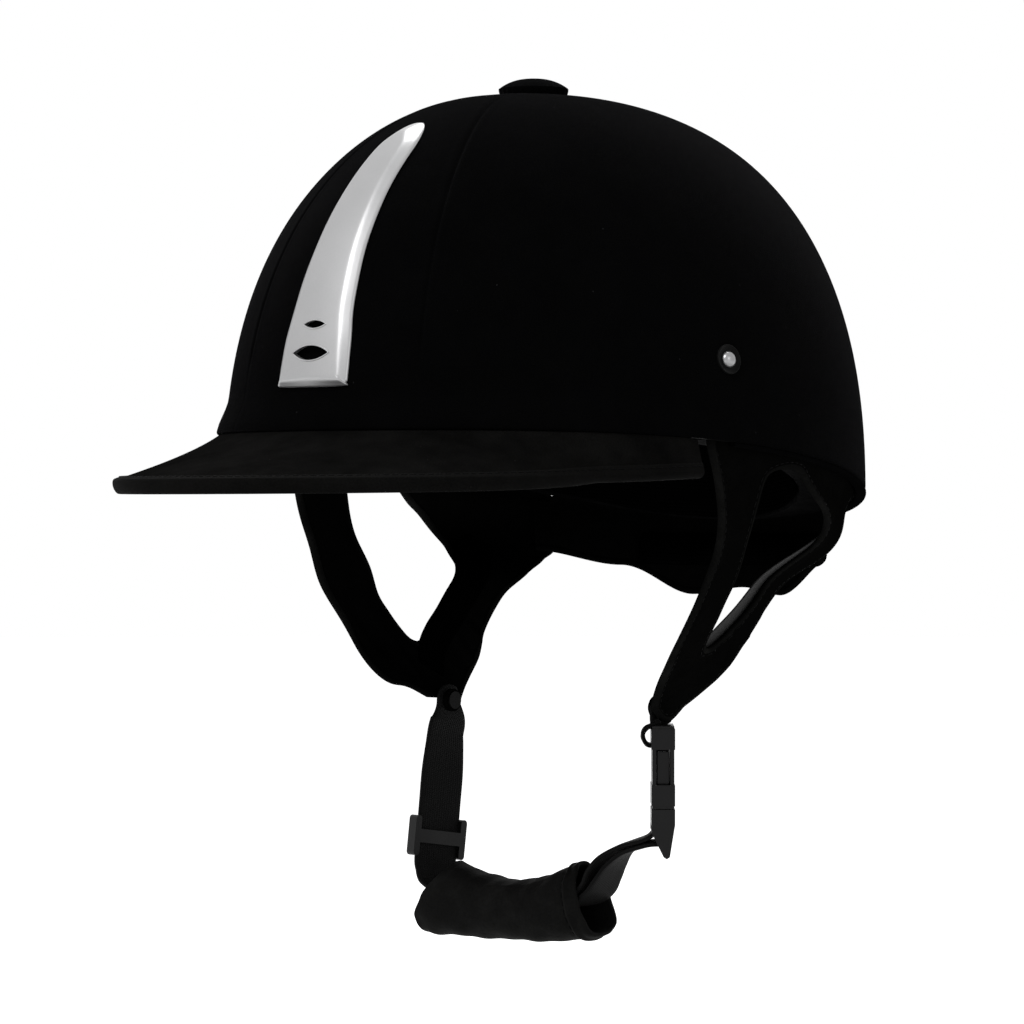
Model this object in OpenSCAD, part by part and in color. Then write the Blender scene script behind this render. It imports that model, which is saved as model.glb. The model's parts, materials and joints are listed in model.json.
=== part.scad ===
// Riding helmet with a peak, a leather harness and a buckled chin strap
// Origin at the front rim's height on the head's axis, +Z up, the helmet faces -Y

/* [Shell form] */
// Half of the outer width
half_w = 115.5; // [108:0.5:122]
// Half of the outer length
half_l = 137.5; // [130:0.5:145]
// Height of the crown above the front rim
crown_z = 132; // [126:1:140]
// Depth of the widest ring below the front rim
equator_drop = 25; // [20:1:30]
// Squareness of the side profile
profile_n = 2.37; // [2.1:0.01:2.6]
// How much lower the rim is at the rear
rim_drop = 33; // [26:1:38]
// How far the crown leans to the front
crown_lean = 9; // [4:1:12]
// How far the rim flares out over the peak
rim_flare = 3.5; // [2:0.5:5]

/* [Layers] */
// Thickness of the velvet
cover_t = 1.2; // [0.8:0.1:1.6]
// Thickness of the hard shell
shell_t = 2.4; // [1.8:0.1:3]
// Thickness of the foam liner
foam_t = 22; // [18:1:25]
// Thickness of the padded headband
band_t = 8; // [5:1:10]
// Clearance between two layers
layer_gap = 0.2; // [0.2:0.1:0.4]
// Depth of the foam's step where tabs lie behind the shell
rebate = 4.9; // [4.7:0.1:5.2]
// Half width of the front cover panel, in degrees round the helmet
panel_deg = 22.5; // [15:7.5:30]

/* [Peak] */
// How far the peak stands out at the front
peak_out = 59; // [52:1:62]
// Depth of the peak's edge below the rim
peak_drop = 18.3; // [15:0.1:23]
// Thickness of the stiff core
core_t = 2.4; // [2:0.1:3]
// Thickness of the suede and of the lining
suede_t = 1.1; // [0.8:0.1:1.4]
// Width of the edge binding, inwards from the edge
binding_w = 3; // [2:0.5:4]

/* [Trim] */
// Half width of the front plate at its foot
plate_half_w = 17; // [15:0.5:19]
// Height of the plate's foot
plate_foot_z = 16; // [14:0.5:18]
// Height of the plate's tip
plate_tip_z = 117; // [112:0.5:120]
// How far the plate stands proud of the velvet
plate_t = 2.4; // [1.8:0.1:3]
// Width of the large vent
vent_w = 18.3; // [14:0.1:20]
// Height of the large vent
vent_h = 5.9; // [5:0.1:7]
// Height of the large vent's centre
vent_z = 28.6; // [27:0.1:31]
// Width of the small vent
vent_small_w = 11.5; // [9:0.1:14]
// Diameter of the crown button
button_d = 27; // [25:1:32]
// Height of the crown button
button_h = 6.5; // [4:0.5:8]
// Diameter of the side studs
stud_d = 8; // [7:0.5:10]
// Angle of the side studs round the helmet from the front
stud_deg = 78.5; // [76:0.5:84]
// Height of the side studs
stud_z = 26.5; // [24:0.5:30]

/* [Harness] */
// Thickness of the leather
leather_t = 2.4; // [2:0.1:2.6]
// Half of the distance between the feet of the two harness panels
foot_half = 57; // [54:0.5:60]
// Height of the strap pivots
pivot_z = -105; // [-110:1:-100]
// Distance of the strap pivots behind the head's axis
pivot_y = 4; // [2:0.5:6]
// Diameter of the strap pivots
pivot_d = 4; // [3:0.5:5]
// Width of the webbing
web_w = 20; // [18:0.5:20.5]
// Thickness of the webbing
web_t = 2; // [1.6:0.1:2.2]
// Running clearance beside leather and webbing
soft_gap = 0.3; // [0.25:0.05:0.4]
// Diameter of the rivets in the shell
rivet_d = 3; // [2.5:0.5:4]
// Thickness of the rivets' heads
rivet_head_t = 0.4; // [0.3:0.1:0.5]

/* [Chin guard] */
// Length of the guard
guard_l = 82; // [76:1:88]
// Height of the guard's middle section
guard_h = 23; // [21:0.5:26]
// Depth of the guard from front to rear
guard_w = 25.4; // [25.2:0.1:28]
// Thickness of the padded top and bottom
guard_wall = 3.5; // [2.5:0.1:4]
// Drop from the strap pivots to the lowest webbing inside the guard
guard_drop = 79; // [75:1:85]
// Radius of the webbing's curve inside the guard
guard_r = 150; // [140:5:170]

/* [Slider] */
// Outer height of the slider
slider_h = 16; // [14:0.5:18]
// Width of the slider's side rails
slider_rail = 3; // [2.5:0.1:4]
// Drop from the strap pivots to the slider's centre
slider_drop = 54.5; // [45:0.5:55]

/* [Buckle] */
// Width of the buckle
buckle_w = 26; // [25.5:0.5:30]
// Thickness of the buckle
buckle_t = 9; // [8.5:0.5:11]
// Drop from the strap pivots to the top of the buckle socket
socket_drop = 6.6; // [6.4:0.1:7.6]
// Length of the socket
socket_l = 31.4; // [30:0.1:36]
// Length of the plug below the socket
plug_l = 19.2; // [18:0.1:22]
// Width of the gathered webbing loop that hangs the socket
loop_w = 6; // [5:0.5:7]
// Diameter of the plug's web bar
bar_d = 3; // [2.5:0.1:3.4]
// Diameter of the release arms' pins
arm_pin_d = 2; // [1.6:0.1:2.4]

/* [Hidden] */
$fn = 32;
SLICES = 48;
ROWS = [0, 0.1, 0.22, 0.34, 0.46, 0.58, 0.7, 0.81, 0.9, 1];
REBATE_ROW = 8;
LAST_ROW = len(ROWS) - 1;
POLE_PHI = 3;
LEAN_POWER = 12;
height = crown_z + equator_drop;
shell_y = 1.5;
pad_gap = 0.9;
shell_d0 = cover_t + layer_gap;
shell_d1 = shell_d0 + shell_t;
foam_d0 = shell_d1 + layer_gap;
foam_d1 = foam_d0 + foam_t;
band_d0 = foam_d1 + pad_gap;
band_d1 = band_d0 + band_t;
tab_d0 = shell_d1 + 0.8;
tab_d1 = tab_d0 + leather_t;
pivot_x = foot_half - leather_t / 2 - soft_gap - web_t / 2;
patch_x = pivot_x - web_t / 2 - soft_gap;
patch_t = 1.6;
guard_z = pivot_z - guard_drop;
slider_z = pivot_z - slider_drop;
socket_top = pivot_z - socket_drop;

VELVET = "#161616";
SUEDE = "#2b2927";
LEATHER = "#262423";
WEBBING = "#333333";
STEEL = "#b9bcc0";
PLASTIC = "#1d1d1f";
FOAM = "#3a3a3c";

// Helpers
function mix(a, b, f) = a + (b - a) * f;
function clamp01(v) = max(0, min(1, v));
function smooth(v) = let (c = clamp01(v)) c * c * (3 - 2 * c);
function sgn(v) = v < 0 ? -1 : 1;
function spow(v, e) = sgn(v) * pow(abs(v), e);
function unit(v) = v / norm(v);
function flat(list) = [for (part = list) each part];
function flip(list) = [for (i = [len(list) - 1:-1:0]) list[i]];
function catmull(p, f) = 0.5 * (2 * p[1] + (p[2] - p[0]) * f
    + (2 * p[0] - 5 * p[1] + 4 * p[2] - p[3]) * f * f
    + (3 * p[1] - p[0] - 3 * p[2] + p[3]) * f * f * f);
function ring_spline(c, steps) = let (n = len(c))
    [for (i = [0:n - 1], s = [0:steps - 1])
        catmull([for (k = [-1:2]) c[(i + k + n) % n]], s / steps)];
// Value of a table of [place, value] pairs at a place, with smooth steps between them
function table(list, x, i = 0) = i >= len(list) - 2 || x < list[i + 1][0]
    ? mix(list[i][1], list[i + 1][1], smooth((x - list[i][0]) / (list[i + 1][0] - list[i][0])))
    : table(list, x, i + 1);

// Shell surface: t runs round from the front, phi down from the crown, d is the depth inwards
function rim_z(t) = -rim_drop * pow(abs(sin(t / 2)), 4.6);
function side_t(t) = abs(t > 180 ? 360 - t : t);
function centre_y(z) = shell_y - crown_lean * pow(max(0, (z + equator_drop) / height), LEAN_POWER);
function phi_at(z, d) = acos(spow(max(-1, min(1, (z + equator_drop) / (height - d))), profile_n / 2));
function flare(t, z) = rim_flare * smooth((80 - side_t(t)) / 25) * smooth((rim_z(t) + 14 - z) / 14);
function shell_point(t, phi, d) = let (
        rho = pow(max(0, sin(phi)), 2 / profile_n),
        z = (height - d) * spow(cos(phi), 2 / profile_n) - equator_drop,
        out = flare(t, z))
    [(half_w - d + out) * rho * sin(t), centre_y(z) - (half_l - d + out) * rho * cos(t), z];
function row_point(t, v, d) = shell_point(t, mix(POLE_PHI, phi_at(rim_z(t), d), v), d);
function level_point(t, z, d) = shell_point(t, phi_at(z, d), d);
function rho_at(z, d) = let (rise = min(1, abs((z + equator_drop) / (height - d))))
    pow(max(0, 1 - pow(rise, profile_n)), 1 / profile_n);
// Sideways distance of the surface at depth d, at a place y and a height z
function side_x(y, z, d) = (half_w - d)
    * sqrt(max(0.0001, pow(rho_at(z, d), 2) - pow((y - centre_y(z)) / (half_l - d), 2)));
function outward(t) = unit([half_l * sin(t), -half_w * cos(t), 0]);

// Solid through a list of sections, each a loop of as many points
module loft(sections, closed = false) {
    n = len(sections);
    m = len(sections[0]);
    last = closed ? n - 1 : n - 2;
    sides = [for (i = [0:last], j = [0:m - 1])
        let (a = i * m, b = ((i + 1) % n) * m, k = (j + 1) % m)
            each j < m / 2 ? [[a + j, a + k, b + k], [a + j, b + k, b + j]]
                : [[a + j, a + k, b + j], [a + k, b + k, b + j]]];
    half = m / 2;
    ends = closed ? [] : [for (j = [0:half - 2])
        let (e = (n - 1) * m, p = m - 2 - j, q = m - 1 - j)
            each [[j + 1, j, q], [j + 1, q, p], [e + j, e + j + 1, e + q], [e + j + 1, e + p, e + q]]];
    points = flat(sections);
    faces = concat(sides, ends);
    parts = [for (f = faces) cross(points[f[0]], points[f[1]]) * points[f[2]]];
    inside_out = parts * [for (part = parts) 1] > 0;
    polyhedron(points, inside_out ? [for (f = faces) flip(f)] : faces, convexity = 10);
}

// Layer of the shell between two depths, over rows and over a stretch of angles
function layer_section(t, r0, r1, d0, d1) = concat(
    [for (r = [r0:r1]) row_point(t, ROWS[r], d0)],
    [for (r = [r1:-1:r0]) row_point(t, ROWS[r], d1)]);
module layer(r0, r1, d0, d1, t0 = 0, t1 = 360) {
    full = t1 - t0 >= 360;
    count = round((t1 - t0) / 360 * SLICES);
    loft([for (i = [0:full ? count - 1 : count])
        layer_section(mix(t0, t1, i / count), r0, r1, d0, d1)], full);
}

// Lens outline of a vent, as wide and as high as given
module lens(w, h) {
    r = (w * w / 4 + h * h / 4) / h;
    intersection() {
        translate([0, r - h / 2]) circle(r, $fn = 96);
        translate([0, h / 2 - r]) circle(r, $fn = 96);
    }
}
vent_small_z = vent_z + 10.6;
vent_small_h = vent_h * 0.56;
VENT_Y0 = -half_l - 12;
VENT_Y1 = -half_l + 40;
// Both vents as prisms along Y through the layers
module vent_prisms(inset = 0) {
    for (v = [[vent_w, vent_h, vent_z], [vent_small_w, vent_small_h, vent_small_z]])
        translate([0, VENT_Y1, v[2]]) rotate([90, 0, 0])
            linear_extrude(VENT_Y1 - VENT_Y0) lens(v[0] - inset * 3, v[1] - inset * 2);
}

// Rivets through the shell: angle round the helmet, height above the rim, both sides
RIVETS = [[22, 6], [58, 6], [86, 4.5], [112, 4.5], [128, 4.5], [150, 4], [170, 4]];
// Outward normal of the surface at an angle, a height and a depth
function normal_at(t, z, d) = unit(cross(
    level_point(t + 1, z, d) - level_point(t - 1, z, d),
    level_point(t, z + 1, d) - level_point(t, z - 1, d)));
// Places children on both sides, with their Z along the surface's normal
module on_surface(t, z, d) {
    n = normal_at(t, z, d);
    for (side = [0, 1])
        mirror([side, 0, 0]) translate(level_point(t, z, d)) rotate([0, acos(n[2]), atan2(n[1], n[0])])
            children();
}
module rivet_places() {
    for (r = RIVETS) on_surface(r[0], rim_z(r[0]) + r[1], shell_d0) children();
}
module rivet_bores() {
    rivet_places() translate([0, 0, -12]) cylinder(h = 16, d = rivet_d + 0.1);
}
module stud_place() {
    on_surface(stud_deg, stud_z, 0) children();
}
module stud_bores(d) {
    stud_place() translate([0, 0, -8]) cylinder(h = 12, d = d);
}

// Shell layers
module outer_shell() color(PLASTIC) difference() {
    layer(0, LAST_ROW, shell_d0, shell_d1);
    rivet_bores();
    stud_bores(4.4);
    vent_prisms();
}
module cover_panel(t0, t1) color(VELVET) difference() {
    layer(0, LAST_ROW, 0, cover_t, t0 + 0.08, t1 - 0.08);
    children();
}
module cover_front() cover_panel(-panel_deg, panel_deg) vent_prisms();
module cover_left() cover_panel(panel_deg, 180 - panel_deg) stud_bores(4.4);
module cover_right() cover_panel(180 + panel_deg, 360 - panel_deg) stud_bores(4.4);
module cover_rear() cover_panel(180 - panel_deg, 180 + panel_deg);
// Foam with a step above the rim that leaves room for the tabs behind the shell
module foam_liner() color(FOAM) difference() {
    loft([for (i = [0:SLICES - 1]) let (t = i * 360 / SLICES) concat(
        [for (r = [0:REBATE_ROW]) row_point(t, ROWS[r], foam_d0)],
        [for (r = [REBATE_ROW:LAST_ROW]) row_point(t, ROWS[r] + 0.001 * (LAST_ROW - r), foam_d0 + rebate)],
        [for (r = [LAST_ROW:-1:0]) row_point(t, ROWS[r], foam_d1)])], true);
    stud_place() translate([0, 0, -14]) cylinder(h = 14, d = stud_d + 3);
    translate([0, button_y, nut_z - 6]) cylinder(h = 14, d = 26, $fn = 64);
    vent_prisms();
}
// Padded headband: rounded section, in rows and depths
BAND = [[0.72, 0], [0.72, 0.35], [0.77, 0.85], [0.85, 1], [0.93, 0.85], [0.985, 0.35], [0.985, 0], [0.85, 0]];
module headband() color(SUEDE) loft([for (i = [0:SLICES - 1]) let (t = i * 360 / SLICES)
    [for (b = BAND) row_point(t, b[0], mix(band_d0, band_d1, b[1]))]], true);
// Crown pad: a soft ring that bulges between its edges
PAD = [[0, 0], [0, 0.5], [0.1, 0.95], [0.2, 1], [0.3, 0.8], [0.34, 0.35], [0.34, 0], [0.17, 0]];
module crown_pad() color(SUEDE) loft([for (i = [0:SLICES - 1]) let (t = i * 360 / SLICES)
    [for (b = PAD) row_point(t, mix(0.1, 1, b[0]), mix(band_d0, band_d1, b[1]))]], true);
// Rim binding: from one end of the peak round the rear to the other
BINDING_STEPS = 27;
binding_t = 1.3;
module rim_binding() color(LEATHER) loft([for (i = [0:BINDING_STEPS]) let (
        t = mix(PEAK_END + 2, 358 - PEAK_END, i / BINDING_STEPS),
        top = [0, 0, -soft_gap], low = top - [0, 0, binding_t],
        a = row_point(t, 1, -layer_gap / 2), b = row_point(t, 1, shell_d1 + layer_gap))
    [a + top, a + low, b + low, b + top]]);

// Peak: sections in outward distance and height, measured from the rim
PEAK_END = 77;
PEAK_STATIONS = 13;
CORE_STATIONS = 12;
PEAK_STEPS = [0, 0.35, 0.7, 1];
PEAK_SIDE = 5;
PEAK_RISE = 4;
peak_bow = -0.65;
function peak_reach(t) = (PEAK_SIDE + (peak_out - PEAK_SIDE) * pow(max(0, cos(1.7 * t)), 1.1))
    * (1 - 0.5 * smooth((abs(t) - 56) / 21));
function peak_low(t) = -peak_drop + PEAK_RISE * pow(t / PEAK_END, 2);
function peak_chord(t) = [peak_reach(t) + 1, peak_low(t) - rim_z(t) + soft_gap];
// Point of the peak's surface at a share w of its reach, at a depth below its top
function peak_2d(t, w, depth) = let (c = peak_chord(t), n = [-c[1], c[0]] / norm(c))
    [-1, -soft_gap] + c * w + n * (peak_bow * sin(180 * w) * smooth(peak_reach(t) / 30) - depth);
function peak_3d(t, q) = let (p = level_point(t, rim_z(t), 0))
    p + outward(t) * q[0] + [0, 0, q[1]];
function peak_strip(t, d0, d1, reach = 1) = concat(
    [for (w = PEAK_STEPS) peak_3d(t, peak_2d(t, w * reach, d0))],
    [for (w = flip(PEAK_STEPS)) peak_3d(t, peak_2d(t, w * reach, d1))]);
function peak_angles(count) = [for (i = [-count:count]) PEAK_END * i / PEAK_STATIONS];
core_top = suede_t + layer_gap;
core_low = core_top + core_t;
module peak_cover() color(SUEDE)
    loft([for (t = peak_angles(PEAK_STATIONS)) peak_strip(t, 0, suede_t)]);
lining_top = core_low + layer_gap;
module peak_lining() color(SUEDE)
    loft([for (t = peak_angles(CORE_STATIONS)) peak_strip(t, lining_top, lining_top + suede_t, 0.985)]);
function peak_core_section(t) = let (
        top = peak_2d(t, 0, core_top), low = peak_2d(t, 0, core_low),
        high = min(top[1], -0.7), rim = rim_z(t))
    concat(
        [for (rise = [11, 5]) level_point(t, rim + rise, tab_d0)],
        [for (q = concat([[-tab_d0, high], [max(-tab_d0 + 0.2, top[0]), high]],
            [for (w = [0.35, 0.7, 1]) peak_2d(t, w, core_top)],
            [for (w = [1, 0.7, 0.35]) peak_2d(t, w, core_low)],
            [[max(-tab_d0 + 0.1, low[0]), low[1]], [-tab_d1, low[1]]])) peak_3d(t, q)],
        [for (rise = [5, 11]) level_point(t, rim + rise, tab_d1)]);
module peak_core() color(PLASTIC) difference() {
    loft([for (t = peak_angles(CORE_STATIONS)) peak_core_section(t)]);
    rivet_bores();
}
// Binding: a rounded bead along the peak's edge
module peak_binding() color(LEATHER) loft([for (t = peak_angles(PEAK_STATIONS)) let (
        edge = peak_2d(t, 1, (core_low + suede_t) / 2), c = unit(peak_chord(t)), n = [-c[1], c[0]],
        r = core_low / 2 + 0.9)
    [for (a = [90:-36:-90]) peak_3d(t, edge + c * (0.45 + binding_w * 0.5 * cos(a)) + n * r * sin(a))]]);

// Trim
PLATE_ROWS = [[0, 0.86], [0.015, 0.98], [0.04, 1], [0.17, 0.96], [0.28, 0.87], [0.4, 0.81], [0.51, 0.745],
    [0.61, 0.705], [0.73, 0.65], [0.84, 0.6], [0.91, 0.54], [0.955, 0.42], [0.985, 0.26], [1, 0.1]];
plate_gap = 0.65;
PLATE_ACROSS = [-1, -0.84, -0.4, 0, 0.4, 0.84, 1];
function plate_point(x, z, d) = let (phi = phi_at(z, d), rho = pow(sin(phi), 2 / profile_n))
    shell_point(asin(x / ((half_w - d + flare(0, z)) * rho)), phi, d);
module front_plate() color(STEEL) difference() {
    loft([for (r = PLATE_ROWS) let (z = mix(plate_foot_z, plate_tip_z, r[0]), half = r[1] * plate_half_w,
            edge = r[0] == 0 || r[0] == 1 ? 0.5 : 1) concat(
        [for (u = PLATE_ACROSS)
            plate_point(u * half, z, -plate_gap - plate_t * edge * (abs(u) == 1 ? 0.45 : 1))],
        [for (u = flip(PLATE_ACROSS)) plate_point(u * half, z, -plate_gap)])]);
    vent_prisms();
}
// Perforated screens that fill the two vents behind the plate
hole_d = 1;
hole_row = 1.6;
module hole(x, z) translate([x, 0, z]) rotate([90, 0, 0]) cylinder(h = half_l * 1.5, d = hole_d, $fn = 16);
module vent_screens() color(PLASTIC) intersection() {
    difference() {
        vent_prisms(0.15);
        for (i = [-4:4], k = [-1:1]) hole((i * 2 + k) * hole_d, vent_z + k * hole_row);
        for (i = [-2:2]) hole(i * 2 * hole_d, vent_small_z);
    }
    for (z = [vent_z, vent_small_z])
        translate([-half_w / 2, level_point(0, z, shell_d0)[1], z - vent_h / 2])
            cube([half_w, shell_t, vent_h]);
}
button_y = centre_y(crown_z);
button_r = (pow(button_d / 2, 2) + pow(button_h - 1.5, 2)) / (2 * (button_h - 1.5));
module crown_button() color(VELVET) translate([0, button_y, crown_z + 0.1]) {
    rotate_extrude($fn = 64) intersection() {
        translate([0, button_h - button_r]) circle(button_r, $fn = 96);
        union() {
            square([button_d / 2 - 1, button_h]);
            translate([0, 1]) square([button_d / 2, button_h - 1]);
            translate([button_d / 2 - 1, 1]) circle(1, $fn = 32);
        }
    }
    translate([0, 0, -12]) cylinder(h = 12.5, d = 5);
}
nut_z = crown_z - shell_d1 - 0.6;
module button_nut() color(STEEL) translate([0, button_y, nut_z]) difference() {
    union() {
        translate([0, 0, -1.2]) cylinder(h = 1.2, d = 24, $fn = 64);
        translate([0, 0, -5]) cylinder(h = 4, d = 10, $fn = 6);
    }
    translate([0, 0, -6]) cylinder(h = 8, d = 5.1);
}
// Studs: a dome over a flat flange, on a shank
stud_rise = 1.9;
stud_r = (pow(stud_d / 2, 2) + pow(stud_rise, 2)) / (2 * stud_rise);
module side_studs() color(STEEL) stud_place() {
    rotate_extrude($fn = 48) intersection() {
        translate([0, stud_rise + 0.5 - stud_r]) circle(stud_r, $fn = 96);
        translate([0, 0.3]) square([stud_d / 2, 3]);
    }
    translate([0, 0, 0.2]) cylinder(h = 0.5, d = stud_d + 3);
    translate([0, 0, -6]) cylinder(h = 6.3, d = 4);
}
module stud_washers() color(STEEL) stud_place() translate([0, 0, -6]) difference() {
    cylinder(h = 1, d = stud_d);
    translate([0, 0, -1]) cylinder(h = 3, d = 4.1);
}
// Rivets: a shank from inside the shell, and a head that rests on the tab's faceted inner face
head_z = shell_d0 - tab_d1 - 0.9;
module anchor_rivets() color(STEEL) rivet_places() {
    translate([0, 0, head_z - rivet_head_t / 2]) cylinder(h = -0.7 - head_z, d = rivet_d);
    translate([0, 0, head_z - rivet_head_t]) cylinder(h = rivet_head_t, d = rivet_d * 1.8);
}

// Harness: a leather sheet between an outline and an ear opening, both in side view.
// Their points are given for these lengths and follow the shell and the pivots
drawn_l = 137.5;
drawn_z = -105;
function harness_at(q) = [q[0] * half_l / drawn_l, q[1] < 0 ? q[1] * pivot_z / drawn_z : q[1]];
HARNESS_OUT = [[4, -110.5], [-1, -108.5], [-8, -101], [-15, -90], [-18, -80], [-21, -61], [-20, -42],
    [-26, -20], [-31, -2], [-26, 6], [2, 5], [32, 1], [60, -3], [84, -10], [94, -22], [90, -43], [80, -50], [70, -55.5],
    [55, -64], [42, -78], [33, -90], [19, -101], [9, -108.5]];
HARNESS_EAR = [[10, -80], [8, -78], [7, -74], [6, -69], [5, -63], [4, -52], [2, -39], [3, -26],
    [5, -18], [8, -15], [14, -14], [21, -15], [28, -19], [37, -26], [44, -31], [48, -37], [49, -43],
    [46, -48], [42, -53], [34, -62], [26, -70], [18, -76], [13, -79]];
function rim_at(y) = rim_z(acos(max(-1, min(1, -(y - shell_y) / half_l))));
function strap_x(y, z, d) = let (rim = rim_at(y) - 1.5)
    z > rim ? side_x(y, z, d)
    : let (s = clamp01((rim - z) / (rim - pivot_z)))
        mix(side_x(y, rim, d), foot_half + leather_t / 2 - (d - tab_d0), s) + (9 - 0.32 * y) * sin(180 * s);
function strap_point(q, d) = [strap_x(q[0], q[1], d), q[0], q[1]];
module harness() {
    outline = ring_spline([for (q = HARNESS_OUT) harness_at(q)], 2);
    ear = ring_spline([for (q = HARNESS_EAR) harness_at(q)], 2);
    loft([for (i = [0:len(outline) - 1]) concat(
        [for (f = [0, 0.33, 0.67, 1]) strap_point(mix(outline[i], ear[i], f), tab_d0)],
        [for (f = [1, 0.67, 0.33, 0]) strap_point(mix(outline[i], ear[i], f), tab_d1)])], true);
}
module harness_left() color(LEATHER) difference() {
    harness();
    rivet_bores();
}
module harness_right() color(LEATHER) difference() {
    mirror([1, 0, 0]) harness();
    rivet_bores();
}
// Inner leather patches that close the strap pivots
module pivot_patches() color(LEATHER)
    for (side = [-1, 1])
        translate([side * (patch_x - patch_t / 2), pivot_y, pivot_z]) rotate([0, 90, 0])
            linear_extrude(patch_t, center = true) difference() {
                circle(d = pivot_d + 5);
                circle(d = pivot_d + 0.1);
            }
module strap_pivots() color(STEEL)
    for (side = [-1, 1])
        translate([side * patch_x, pivot_y, pivot_z]) rotate([0, side * 90, 0]) {
            translate([0, 0, -patch_t - 0.9]) cylinder(h = 0.8, d = pivot_d + 3);
            translate([0, 0, -patch_t - 0.2]) cylinder(h = patch_t + web_t + soft_gap * 2, d = pivot_d);
        }

// Nape panel: a leather sheet behind the head
NAPE_LOW = [[0, -61], [13, -64], [30, -52], [42, -52]];
NAPE_END = 42;
NAPE_ROWS = [0, 0.16, 0.3, 0.5, 0.75, 1];
function nape_top(a) = rim_z(180 - a) + mix(8, -4, smooth((a - 38) / 4));
function nape_inset(a, z) = let (below = max(0, rim_z(180 - a) - 1.5 - z))
    below * mix(0.29, 1.15, smooth((a - 8) / 38));
function nape_point(a, z, d) = let (
        i = d + nape_inset(abs(a), z), rho = rho_at(max(z, -equator_drop * 1.4), i))
    [(half_w - i) * rho * sin(180 - a), centre_y(z) - (half_l - i) * rho * cos(180 - a), z];
module nape_panel() color(LEATHER) difference() {
    loft([for (k = [0:22]) let (
            a = mix(-NAPE_END, NAPE_END, k / 22), hi = nape_top(abs(a)), lo = table(NAPE_LOW, abs(a)))
        concat(
            [for (f = NAPE_ROWS) nape_point(a, mix(hi, lo, f), tab_d0)],
            [for (f = flip(NAPE_ROWS)) nape_point(a, mix(hi, lo, f), tab_d1)])]);
    rivet_bores();
}
// Soft pad inside the nape panel, with its crown and its drawn-in sides
module nape_pad() color(SUEDE) loft([for (k = [0:14])
    let (a = mix(-26, 26, k / 14), puff = 5 * pow(max(0, cos(a * 90 / 27)), 0.5),
        z1 = rim_z(180) - 6, z0 = -52)
    concat(
        [for (f = [0, 0.25, 0.5, 0.75, 1]) nape_point(a, mix(z1, z0, f), tab_d1 + soft_gap)],
        [for (f = [1, 0.75, 0.5, 0.25, 0])
            let (swell = 0.8 + puff * sin(180 * mix(0.08, 0.92, f)))
                nape_point(a, mix(z1, z0, f), tab_d1 + soft_gap + swell)])]);

// Webbing: a ribbon through places, each with the turn of its width away from +Y
function ribbon_section(p, along, turn, w, t) = let (
        wide = unit([sin(turn), cos(turn), 0]),
        across = unit(wide - along * (wide * along)),
        thick = cross(across, along))
    [p - across * w / 2 - thick * t / 2, p + across * w / 2 - thick * t / 2,
        p + across * w / 2 + thick * t / 2, p - across * w / 2 + thick * t / 2];
module ribbon(path, w = web_w) {
    n = len(path) - 1;
    loft([for (i = [0:n]) let (
            a = path[max(0, i - 1)][0], b = path[min(n, i + 1)][0])
        ribbon_section(path[i][0], unit(b - a), path[i][1], w, web_t)]);
}
strap_slope = 0.125;
strap_turn = 12;
function strap_place(z) = [-pivot_x, pivot_y + strap_slope * (z - pivot_z), z];
guard_x = -6;
guard_y = -6;
guard_centre_z = guard_z + guard_r;
function guard_arc(o) = [guard_x + o, guard_y, guard_centre_z - sqrt(guard_r * guard_r - o * o)];
tab_l = 8;
tab_d = 13;
module web_tab(end, w, d) {
    rotate([0, 90, 0]) linear_extrude(web_t, center = true) difference() {
        union() {
            circle(d = d, $fn = 64);
            polygon([[0, -d / 2], [end, -w / 2], [end, w / 2], [0, d / 2]]);
        }
        circle(d = pivot_d + 0.1);
    }
}
// Right webbing: drops below the pivot with their turns, then the bend into the guard.
// A bend's rows hold a place along X, y, the rise above the webbing's lowest point, and a turn
WEB_END = 31;
WEB_DROPS = [[tab_l + 5, 2], [19, 6], [29, strap_turn], [41, strap_turn]];
RIGHT_BEND = [[0.6, -4.5, 11.4, 6], [2.4, -5.2, 8.2, 4], [5, -5.6, 6.6, 2]];
function bend(rows, x) = [for (r = rows) [[x + r[0], r[1], guard_z + r[2]], r[3]]];
module chin_web() color(WEBBING) {
    translate([-pivot_x, pivot_y, pivot_z]) web_tab(tab_l, web_w, tab_d);
    ribbon(concat(
        [[[-pivot_x, pivot_y, pivot_z - tab_l + 0.5], 0]],
        [for (d = WEB_DROPS) [strap_place(pivot_z - d[0]), d[1]]],
        [[strap_place(guard_z + 15.5), strap_turn]],
        bend(RIGHT_BEND, -pivot_x),
        [for (o = [-guard_l / 2, -33, -24, -15, -6, 3, 12, 21, WEB_END]) [guard_arc(o), 0]]));
}
// Slider: side rails, two rails behind the webbing and a bar in front of it
module slider_frame() {
    translate(strap_place(slider_z)) rotate([0, 0, -strap_turn]) rotate([-atan(strap_slope), 0, 0])
        children();
}
cross_t = 1.9;
slider_w = web_w + 2 * slider_rail + 1;
slider_t = web_t / 2 + soft_gap + cross_t;
module slider() color(PLASTIC) slider_frame() {
    for (side = [-1, 1])
        translate([0, side * (slider_w / 2 - slider_rail / 2), 0]) rotate([0, 90, 0])
            linear_extrude(slider_t * 2, center = true) {
                square([slider_h - slider_rail, slider_rail], center = true);
                for (e = [-1, 1]) translate([e * (slider_h - slider_rail) / 2, 0]) circle(d = slider_rail);
            }
    for (e = [-1, 1])
        translate([-slider_t + cross_t / 2, 0, e * (slider_h - slider_rail) / 2])
            cube([cross_t, slider_w - slider_rail, slider_rail], center = true);
    translate([slider_t - cross_t / 2, 0, 0])
        cube([cross_t, slider_w - slider_rail, slider_h / 3], center = true);
}

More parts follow.
